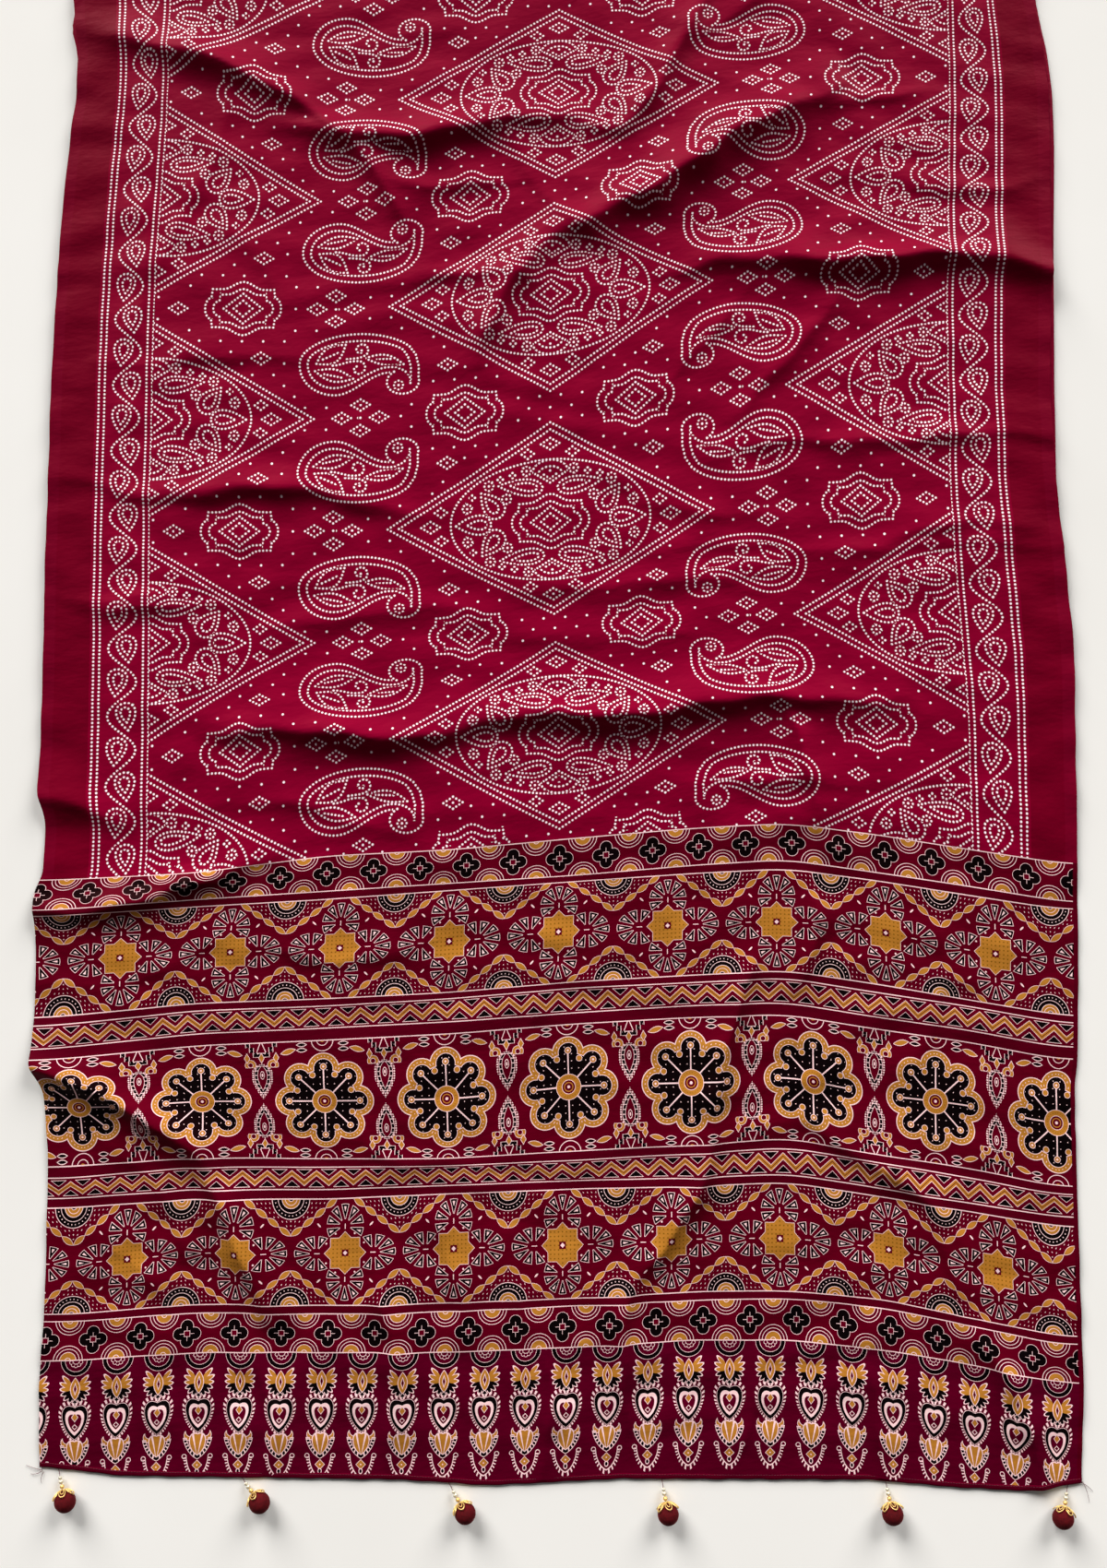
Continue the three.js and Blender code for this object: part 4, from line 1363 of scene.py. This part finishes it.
# The printed cloth
BORDER_FINISH, SELVEDGE_FINISH, STRIPE_FINISH = 3, 4, 5
cloth_finishes = [
    plain_cloth("plain_crimson_crepe", CRIMSON),
    dotted_cloth("dotted_rows_crepe", CRIMSON, DOT_PITCH, DOT_RADIUS),
    dotted_cloth("single_dots_crepe", CRIMSON, None, SPOT_RADIUS),
    plain_cloth("plain_border_crepe", BORDER),
    plain_cloth("selvedge_crepe", SELVEDGE),
    plain_cloth("dark_stripe_crepe", STRIPE),
    block_print("quatrefoil_band", 0, 43, 51.5, 0, quatrefoils),
    block_print("star_band", 51, 165, 120, 0, stars),
    block_print("zigzag_band", 172, 200, 27.2, 0, zigzags),
    block_print("wheel_flower_band", 212, 349, 135, 9, wheel_flowers),
    block_print("lower_zigzag_band", 358, 386, 27.2, 0, zigzags),
    block_print("lower_star_band", 394, 508, 120, 0, stars),
    block_print("lower_quatrefoil_band", 516, 560, 51.5, 0, quatrefoils),
    block_print("pendant_band", 560, 691, 44.7, 5, pendants,
                DEEP_MAROON, lined=False),
]
PALLU_BANDS = ((0, 43, 6), (51, 165, 7), (172, 200, 8), (212, 349, 9), (358, 386, 10),
               (394, 508, 11), (516, 560, 12), (560, 900, 13))
BODY_STRIPS = 4
PALLU_CUTS = (0.560, 0.353, 0.168)
TURNED_STEP = 0.002
U_LINE = spaced([-HALF_WIDTH, -STRIP_OUTER, -STRIP_INNER, 0, STRIP_INNER, STRIP_OUTER,
                 SELVEDGE_INNER, HALF_WIDTH], GRID_STEP)


def body_pieces():
    """The body's print in strips along its length, the last one turned down at the far
    end. They share their end rows, and their normals come from the whole cloth."""
    v_line = spaced(BODY_ROWS[:, 0] * MM, GRID_STEP)
    y = body_y(U_LINE, v_line)
    u = np.broadcast_to(U_LINE, y.shape)
    v = np.broadcast_to(v_line[:, None], y.shape)
    grids = cloth_grid(u, y)
    zones, dots = body_print(u, v)
    cuts = [round((len(v) - 1) * n / BODY_STRIPS) for n in range(1, BODY_STRIPS)]
    for number, part in enumerate(strips(len(v), cuts), 1):
        faces = slice(part.start, part.stop - 1)
        upper, under, normals = [grid[part] for grid in grids]
        us, vs, part_zones, part_dots = u[part], v[part], zones[faces], dots[faces]
        if number == BODY_STRIPS:
            nose = turned_end(upper)
            upper, under, normals = [
                np.concatenate(pair) for pair in zip((upper, under, normals), nose)]
            turned_rows = len(nose[0])
            down = vs[-1] + np.arange(1, turned_rows + 1)[:, None] * TURNED_STEP
            us = np.concatenate([us, us[:turned_rows]])
            vs = np.concatenate([vs, down])
            part_zones = np.concatenate([part_zones, 0 * zones[:turned_rows]])
            part_dots = np.concatenate([part_dots, 0 * dots[:turned_rows] + NO_DOT])
        piece = shell_piece(f"body_print_{number}", upper, under, us, vs, part_zones,
                            part_dots, cloth_finishes, "body_crepe", normals)
        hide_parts("body_cloth")
        float(vs.max() - vs.min())


def pallu_pieces():
    """The pallu's bands in strips, hem first, from the last band's end on to the hem's
    own line."""
    v_line = spaced(PALLU_ROWS[:, 0] * MM, GRID_STEP)
    y = pallu_y(U_LINE, v_line)
    share = spaced([0, 1], 1 / 36)[1:, None]
    hem_edge = hem_y(U_LINE) + HEM_WIDTH / MM / 2
    last = y[-1] + (hem_edge - y[-1]) * share
    down = np.broadcast_to(v_line[:, None], y.shape)
    v = -np.concatenate([down, down[-1] + (y[-1] - last) * MM])[::-1]
    y = np.concatenate([y, last])[::-1]
    u = np.broadcast_to(U_LINE, y.shape)
    upper, under, normals = cloth_grid(u, y)
    zones = np.full((len(v) - 1, len(U_LINE) - 1), STRIPE_FINISH)
    past, sideways = -middles(v) / MM, middles(u)
    for band_top, band_low, finish in PALLU_BANDS:
        zones[(past > band_top) & (past < band_low)] = finish
    zones[sideways > SELVEDGE_INNER] = STRIPE_FINISH
    cuts = [int(np.argmin(abs(v[:, 0] + cut))) for cut in PALLU_CUTS]
    for number, part in enumerate(strips(len(v), cuts), 1):
        faces = zones[part.start:part.stop - 1]
        piece = shell_piece(
            f"pallu_print_{number}", upper[part], under[part], u[part], v[part], faces,
            np.full((*faces.shape, 4, 2), NO_DOT), cloth_finishes, "pallu_crepe",
            normals[part])
        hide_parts("pallu_cloth")


body_pieces()
pallu_pieces()


def hem_roll():
    """The turned hem: a rounded section 6 by 2.2 mm, |y / 3| ^ n + |z / 1.1| ^ n = 1,
    carried along the hem's line and lifted by the folds."""
    us = spaced([-HALF_WIDTH, HALF_WIDTH], 0.0035)
    a = np.arange(12) * TAU / 12
    wide = np.sign(np.cos(a)) * abs(np.cos(a)) ** (2 / HEM_POWER)
    tall = np.sign(np.sin(a)) * abs(np.sin(a)) ** (2 / HEM_POWER)
    edge = hem_y(us) + 0.25 * np.sin(us * 210) + 0.2 * np.sin(us * 97 + 1)
    y = edge[:, None] + HEM_WIDTH / MM / 2 * (1 + wide[None, :])
    x = across(us[:, None], y)
    lift = fold_height(x, y) + 0.12 * (1 + np.sin(us * 160))[:, None]
    z = lift + HEM_HEIGHT / MM / 2 * (1 + tall[None, :]) + 0.1
    points = np.stack([x, y, z], axis=-1).reshape(-1, 3) * MM
    sides = len(a)
    ends = np.array([np.arange(sides), (len(us) - 1) * sides + np.arange(sides)[::-1]])
    uv = np.stack([np.broadcast_to(us[:, None], y.shape), y * MM], axis=-1).reshape(-1, 2)
    faces = [grid_faces(len(us), sides, around=True), ends[:, ::-1]]
    return points, faces, uv


points, faces, uv = hem_roll()
hem = mesh_piece("hem_roll", points, faces, [plain_cloth("hem_crepe", HEM_COLOUR)],
                 "pallu_crepe", uv=uv)
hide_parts("pallu_hem")


def hem_stitches():
    """The hem's row of stitches: a short flat bar every 3 mm, laid along the hem's inner
    edge and a little proud of it."""
    middle = spaced([-HALF_WIDTH + STITCH_PITCH, HALF_WIDTH - STITCH_PITCH], STITCH_PITCH)
    us = np.stack([middle - STITCH_HALF, middle + STITCH_HALF], axis=-1)
    edge = hem_y(us.ravel()).reshape(us.shape) + HEM_WIDTH / MM - 1.3
    edge += 0.12 * np.sin(middle * 900)[:, None]
    x = across(us, edge)
    z = (fold_height(x, edge) + HEM_HEIGHT / MM + 0.12 * (1 + np.sin(us * 160))) * MM
    corners = [(0, -0.2, -0.5), (0, 0.2, -0.5), (0, 0.2, 0.28), (0, -0.2, 0.28),
               (1, -0.2, -0.5), (1, 0.2, -0.5), (1, 0.2, 0.28), (1, -0.2, 0.28)]
    points = np.stack([np.stack([x[:, end] * MM, (edge[:, end] + dy) * MM,
                                 z[:, end] + dz * MM], axis=-1)
                       for end, dy, dz in corners], axis=1).reshape(-1, 3)
    sides = np.array([(0, 1, 2, 3), (7, 6, 5, 4), (0, 4, 5, 1), (1, 5, 6, 2),
                      (2, 6, 7, 3), (3, 7, 4, 0)])
    return points, [(np.arange(len(middle))[:, None, None] * 8 + sides).reshape(-1, 4)]


def folded_lengths():
    """The lengths folded under the body: for each a thin slab 1 mm high, from inside the
    far fold to its own end, its sides a little wavy."""
    shapes, uvs = [], []
    us = np.concatenate([[0, 0.002, 0.006], np.linspace(0.015, 0.985, 30), [0.994, 0.998, 1]])
    ts = np.concatenate([[0, 0.002, 0.006], np.linspace(0.015, 1, 60)])
    for level, (left, right, inset) in enumerate(LAYERS):
        end = left + (right - left) * us[None, :]
        y = end + (FOLD_END / MM + 1 - end) * ts[:, None]
        wave = 0.8 * np.sin(y / (37 + 9 * level) + level * 2.1)
        low = edge_at(y, 3) + inset + wave
        high = edge_at(y, 4) - inset + 0.8 * np.sin(y / (41 + 7 * level) + level)
        x = low + (high - low) * us[None, :]
        rim = np.minimum(np.minimum(us, 1 - us)[None, :] * 1140, (ts * 900)[:, None])
        half = LAYER_HALF * np.sqrt(1 - (1 - np.clip(rim / LAYER_RIM, 0.05, 1)) ** 2)
        middle = LOWEST_LAYER + LAYER_PITCH * level
        upper = np.stack([x, y, middle + half], axis=-1) * MM
        under = np.stack([x, y, middle - half], axis=-1) * MM
        rows, columns = x.shape
        shapes.append((np.concatenate([upper.reshape(-1, 3), under.reshape(-1, 3)]),
                       list(shell_faces(rows, columns))))
        place = np.stack([us[None, :] * 1.14 - HALF_WIDTH + 0 * y, y * MM], axis=-1)
        uvs.append(np.tile(place.reshape(-1, 2), (2, 1)))
    points, faces = joined(shapes)
    return points, faces, np.concatenate(uvs)


points, faces, uv = folded_lengths()
layers = mesh_piece("folded_lengths", points, faces, cloth_finishes, "body_crepe", uv=uv)
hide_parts("folded_layers")


def gold_wire():
    """Bright gilt metal, worn a little unevenly."""
    paint = Paint("gilt_metal")
    grain = paint.noise(paint.place(), 900.0, 3.0)
    tone = paint.mix(grain, rgba("cf9c42"), rgba("ffe49a"))
    bump = paint.node("ShaderNodeBump", None, {
        "Strength": 0.25, "Distance": 0.0002, "Height": grain})[0]
    return paint.finish(Base_Color=tone, Metallic=0.7, Roughness=0.28 + 0.22 * grain,
                        Normal=bump)


def silvery_glass():
    """Small silver-lined glass beads."""
    paint = Paint("silver_lined_glass")
    grain = paint.noise(paint.place(), 600.0, 2.0)
    tone = paint.mix(grain, rgba("a89c80"), rgba("f4ecd4"))
    return paint.finish(Base_Color=tone, Metallic=0.35, Roughness=0.16 + 0.15 * grain,
                        Coat_Weight=0.8, Coat_Roughness=0.05)


def velvet(name, dark, light):
    """Velvet: a dark ground, its nap lying in small patches, and a strong sheen."""
    paint = Paint(name)
    nap = paint.noise(paint.place(), 420.0, 4.0, 0.6)
    tone = paint.mix(nap, rgba(dark), rgba(light))
    bump = paint.node("ShaderNodeBump", None, {
        "Strength": 0.7, "Distance": 0.0006, "Height": nap})[0]
    return paint.finish(Base_Color=tone, Roughness=0.85 + 0.1 * nap, Normal=bump,
                        Sheen_Weight=0.5, Sheen_Roughness=0.3, Sheen_Tint=rgba("b02030"),
                        Specular_IOR_Level=0.15)


def cotton_thread(name, dark, light):
    """Spun thread: fine slanting twist and a matt face."""
    paint = Paint(name)
    twist = paint.noise(paint.place(), 2600.0, 2.0)
    bump = paint.node("ShaderNodeBump", None, {
        "Strength": 0.5, "Distance": 0.0001, "Height": twist})[0]
    return paint.finish(Base_Color=paint.mix(twist, rgba(dark), rgba(light)),
                        Roughness=0.7 + 0.2 * twist, Normal=bump)


GILT = gold_wire()
GLASS = silvery_glass()
VELVET = velvet("maroon_velvet", "2c0207", "64060f")
NAP = velvet("maroon_velvet_nap", "320208", "6c0711")
THREAD = cotton_thread("maroon_thread", "3c0818", "6a1430")


def velvet_ball():
    """The ball: a turned sphere, its radius less small lumps of up to 3%, made of slow
    sines."""
    turn = np.linspace(0, math.pi, 33)
    points, faces = turned(np.sin(turn), -np.cos(turn), 48)
    lump = 0.010 * (1 + np.sin(5 * points[:, 0] + 2) * np.sin(4 * points[:, 1] + 1)
                    + 0.5 * np.sin(9 * points[:, 2] + 3 * points[:, 1]))
    return points * (1 - np.clip(lump, 0, 0.03))[:, None] * BALL_RADIUS, faces


def ball_nap():
    """The nap: short threads on a spiral over the ball, each a thin three-sided spike
    leaning a little, none where the ball lies on the floor."""
    n = np.arange(NAP_THREADS) + 0.5
    high = 1 - 2 * n / NAP_THREADS
    turn = n * GOLDEN_TURN
    out = np.stack([np.sqrt(1 - high ** 2) * np.cos(turn), high,
                    np.sqrt(1 - high ** 2) * np.sin(turn)], axis=-1)
    clear = out[:, 2] - 0.3 * high > -0.95
    out, n = out[clear], n[clear]
    lean = np.stack([np.sin(n * 1.3), np.sin(n * 2.1 + 1), np.sin(n * 3.7 + 2)], axis=-1)
    across_way = unit(np.cross(out, lean + 0.01))
    other = np.cross(out, across_way)
    base, tip = out * BALL_RADIUS * 0.975, out * BALL_RADIUS * 1.02 + lean * 0.00018
    corners = [base + NAP_WIDTH * (math.cos(a) * across_way + math.sin(a) * other)
               for a in (0, TAU / 3, 2 * TAU / 3)]
    points = np.stack([*corners, tip], axis=1).reshape(-1, 3)
    first = np.arange(len(n))[:, None] * 4
    sides = np.concatenate([first + np.array([a, (a + 1) % 3, 3]) for a in range(3)]
                           + [first + np.array([2, 1, 0])])
    return points, [sides]


def petal_loop(turn, near, far, half, radius, lift, wire):
    """One wire petal on the cap's sphere: from near to far degrees below the top, half
    degrees wide each way, pointed at its far end and lifted off the ball there."""
    t = np.arange(26) / 26 * TAU
    along = (1 - np.cos(t)) / 2
    polar = np.radians(near + (far - near) * along)
    width = np.radians(half) * np.sin(t) * (1 - 0.35 * along) / np.sin(
        np.radians(near + (far - near) * 0.55))
    azimuth = turn + width
    size = radius + lift * along ** 2
    path = np.stack([size * np.sin(polar) * np.cos(azimuth), size * np.cos(polar),
                     size * np.sin(polar) * np.sin(azimuth)], axis=-1)
    return loop_tube(path, wire)


def round_bead(centre, radius, squash=1.0):
    """A bead on the thread: a turned sphere, squashed along the thread."""
    turn = np.linspace(0, math.pi, 15)
    points, faces = turned(radius * np.sin(turn), -radius * squash * np.cos(turn), 20)
    return points + np.array([0, centre, 0]), faces


def filigree_cap():
    """The cap: open petals with a smaller loop in each, two collar rings, granules
    between the petals and at their tips. The petals on the floor's side are shorter."""
    shapes = []
    for n in range(PETALS):
        turn = n * TAU / PETALS + 0.3
        low = max(0.0, -math.sin(turn))
        far = 70 - 36 * low
        shapes.append(
            petal_loop(turn, 12, far, 19, CAP_RADIUS, PETAL_LIFT * (1 - low), PETAL_WIRE))
        shapes.append(
            petal_loop(turn, 16, far - 16, 9, CAP_RADIUS + 0.0001, 0.0002, LOOP_WIRE))
        half_way = turn + TAU / PETALS / 2
        for angle, polar, size in ((half_way, 26, 0.0008), (turn, far + 0.5, 0.0007)):
            p = math.radians(polar)
            size_out = CAP_RADIUS + 0.0002
            centre = np.array([math.sin(p) * math.cos(angle), math.cos(p),
                               math.sin(p) * math.sin(angle)]) * size_out
            points, faces = round_bead(0, size)
            shapes.append((points + centre, faces))
    for polar, wire in ((11, 0.00055), (17, 0.0003)):
        p = math.radians(polar)
        t = np.arange(30) / 30 * TAU
        ring = np.stack([math.sin(p) * np.cos(t), 0 * t + math.cos(p), math.sin(p) * np.sin(t)],
                        axis=-1) * CAP_RADIUS
        shapes.append(loop_tube(ring, wire))
    return joined(shapes)


def gold_bead():
    """The round bead with a raised rim at each end."""
    turn = np.linspace(0, math.pi, 25)
    radii = BEAD_RADIUS * np.sin(turn) * (1 + 0.05 * np.cos(turn * 12))
    return turned(radii, BEAD_CENTRE - BEAD_RADIUS * np.cos(turn), 28)


def thread_with_beads(length):
    """The thread from the cap to the hem, and the small beads on it."""
    start = CAP_RADIUS + 0.0003
    path = np.linspace(0, 1, 14)
    way = np.stack([0.00012 * np.sin(path * 9), start + (length - start) * path,
                    0.0001 * np.sin(path * 7 + 1)], axis=-1)
    thread = tube(way, THREAD_RADIUS, 7)
    beads, along = [], BEAD_CENTRE + BEAD_RADIUS + 0.0003
    for radius in SEED_RADII:
        beads.append(round_bead(along + radius * 0.85, radius, 0.85))
        along += 2 * radius * 0.85 + 0.0001
    return thread, joined(beads)


def stood_up(points, ball, hem):
    """Points from the tassel's own axes, +Y towards the hem, to where it lies."""
    along = unit(hem - ball)
    side = unit(np.cross(along, np.array([0.0, 0.0, 1.0])))
    return ball + points @ np.stack([side, along, np.cross(side, along)])


for number, (hem_x, ball_x, ball_row) in enumerate(TASSELS, 1):
    left, right = [edge_at(np.array([HEM_CORNER]), column) for column in (1, 2)]
    share = (hem_x - left) / (right - left)
    hem_point = np.array([hem_x, hem_y((share * 2 - 1) * HALF_WIDTH)[0], 1.1]) * MM
    hem_point[1] -= THREAD_STANDOFF
    ball_point = np.array([ball_x, ball_row, BALL_RADIUS / MM + 0.05]) * MM
    reach = float(np.linalg.norm(hem_point - ball_point)) + 0.0008
    thread, beads = thread_with_beads(reach)
    made = (
        ("velvet_ball", velvet_ball(), VELVET, "velvet", "ball"),
        ("velvet_nap", ball_nap(), NAP, "velvet", None),
        ("filigree_cap", filigree_cap(), GILT, "gold", "cap"),
        ("gold_bead", gold_bead(), GILT, "gold", "bead"),
        ("hanging_thread", thread, THREAD, "small_bead", "string"),
        ("small_beads", beads, GLASS, "small_bead", None),
    )
    for label, (points, faces), finish, slot, node in made:
        piece = mesh_piece(f"tassel_{number}_{label}", stood_up(points, ball_point, hem_point),
                           faces, [finish], slot)
        if node:
            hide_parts(f"tassel_{number}_{node}")


def loose_ends():
    """Frayed thread ends at the pallu's two corners: thin bars along short curves."""
    curves = (
        ((-553, -848, 1.2), (-563, -846, 1.6), (-571, -843, 0.6)),
        ((-554, -849, 1.0), (-560, -853, 1.8), (-566, -852, 0.5)),
        ((-552, -850, 1.0), (-556, -857, 1.4), (-554, -862, 0.5)),
        ((562, -860, 1.2), (567, -868, 1.8), (569, -882, 0.5)),
        ((561, -861, 1.0), (568, -864, 1.2), (573, -870, 0.5)),
    )
    t = np.linspace(0, 1, 12)[:, None]
    shapes = []
    for start, middle, end in (np.array(c, float) for c in curves):
        path = start * (1 - t) ** 2 + middle * 2 * t * (1 - t) + end * t * t
        shapes.append(tube(path * MM, np.linspace(FRAY_ROOT, FRAY_TIP, len(t)), 6))
    return joined(shapes)


points, faces = hem_stitches()
mesh_piece("hem_stitches", points, faces, [THREAD], "pallu_crepe")
points, faces = loose_ends()
mesh_piece("loose_thread_ends", points, faces, [THREAD], "pallu_crepe")


def pale_floor():
    """A plain pale floor with faint clouds."""
    paint = Paint("pale_floor")
    cloud = paint.noise(paint.place(), 1.6, 4.0, 0.55)
    tone = paint.mix(cloud, rgba("eceae6"), rgba("faf9f7"))
    material = paint.finish(Base_Color=tone, Roughness=0.35 + 0.1 * cloud,
                            Specular_IOR_Level=0.3)
    size = 12.0
    corners = [(x * size, y * size, FLOOR_HEIGHT)
               for x, y in ((-1, -1), (1, -1), (1, 1), (-1, 1))]
    mesh = bpy.data.meshes.new("floor")
    mesh.from_pydata(corners, [], [(0, 1, 2, 3)])
    mesh.materials.append(material)
    plane = bpy.data.objects.new("floor", mesh)
    bpy.context.scene.collection.objects.link(plane)


pale_floor()


def soft_light(name, place, aim, size, power, tint=(1, 1, 1)):
    """A square studio light at a place, turned to face a point."""
    lamp = bpy.data.lights.new(name, "AREA")
    lamp.shape, lamp.size, lamp.energy, lamp.color = "SQUARE", size, power, tint
    holder = bpy.data.objects.new(name, lamp)
    way = np.array(aim, float) - np.array(place, float)
    flat = math.hypot(way[0], way[1])
    holder.location = place
    holder.rotation_euler = (math.atan2(flat, -way[2]), 0, math.atan2(-way[0], way[1]))
    bpy.context.scene.collection.objects.link(holder)


def far_window(name, towards, strength, softness):
    """Even light from far away, falling along a direction, its edges soft."""
    lamp = bpy.data.lights.new(name, "SUN")
    lamp.energy, lamp.angle, lamp.color = strength, math.radians(softness), (1, 0.98, 0.95)
    holder = bpy.data.objects.new(name, lamp)
    x, y, z = towards
    holder.rotation_euler = (math.atan2(math.hypot(x, y), -z), 0, math.atan2(-x, y))
    bpy.context.scene.collection.objects.link(holder)


far_window("far_left_window", (0.55, -1.0, -0.50), 4.2, 34)
far_window("far_right_window", (-0.62, -1.0, -0.50), 3.1, 34)
soft_light("left_light", (-4.0, -1.6, 2.4), (0, -0.3, 0), 1.0, 5)
soft_light("right_light", (4.0, -1.6, 2.4), (0, -0.3, 0), 1.0, 5)
soft_light("top_light", (0, -1.0, 4.2), (0, -0.4, 0), 2.4, 4)

world = bpy.data.worlds.new("studio_air")
world.use_nodes = True
world.node_tree.nodes["Background"].inputs["Color"].default_value = (0.96, 0.97, 1, 1)
world.node_tree.nodes["Background"].inputs["Strength"].default_value = 0.038
bpy.context.scene.world = world
bpy.context.scene.view_settings.view_transform = "Standard"
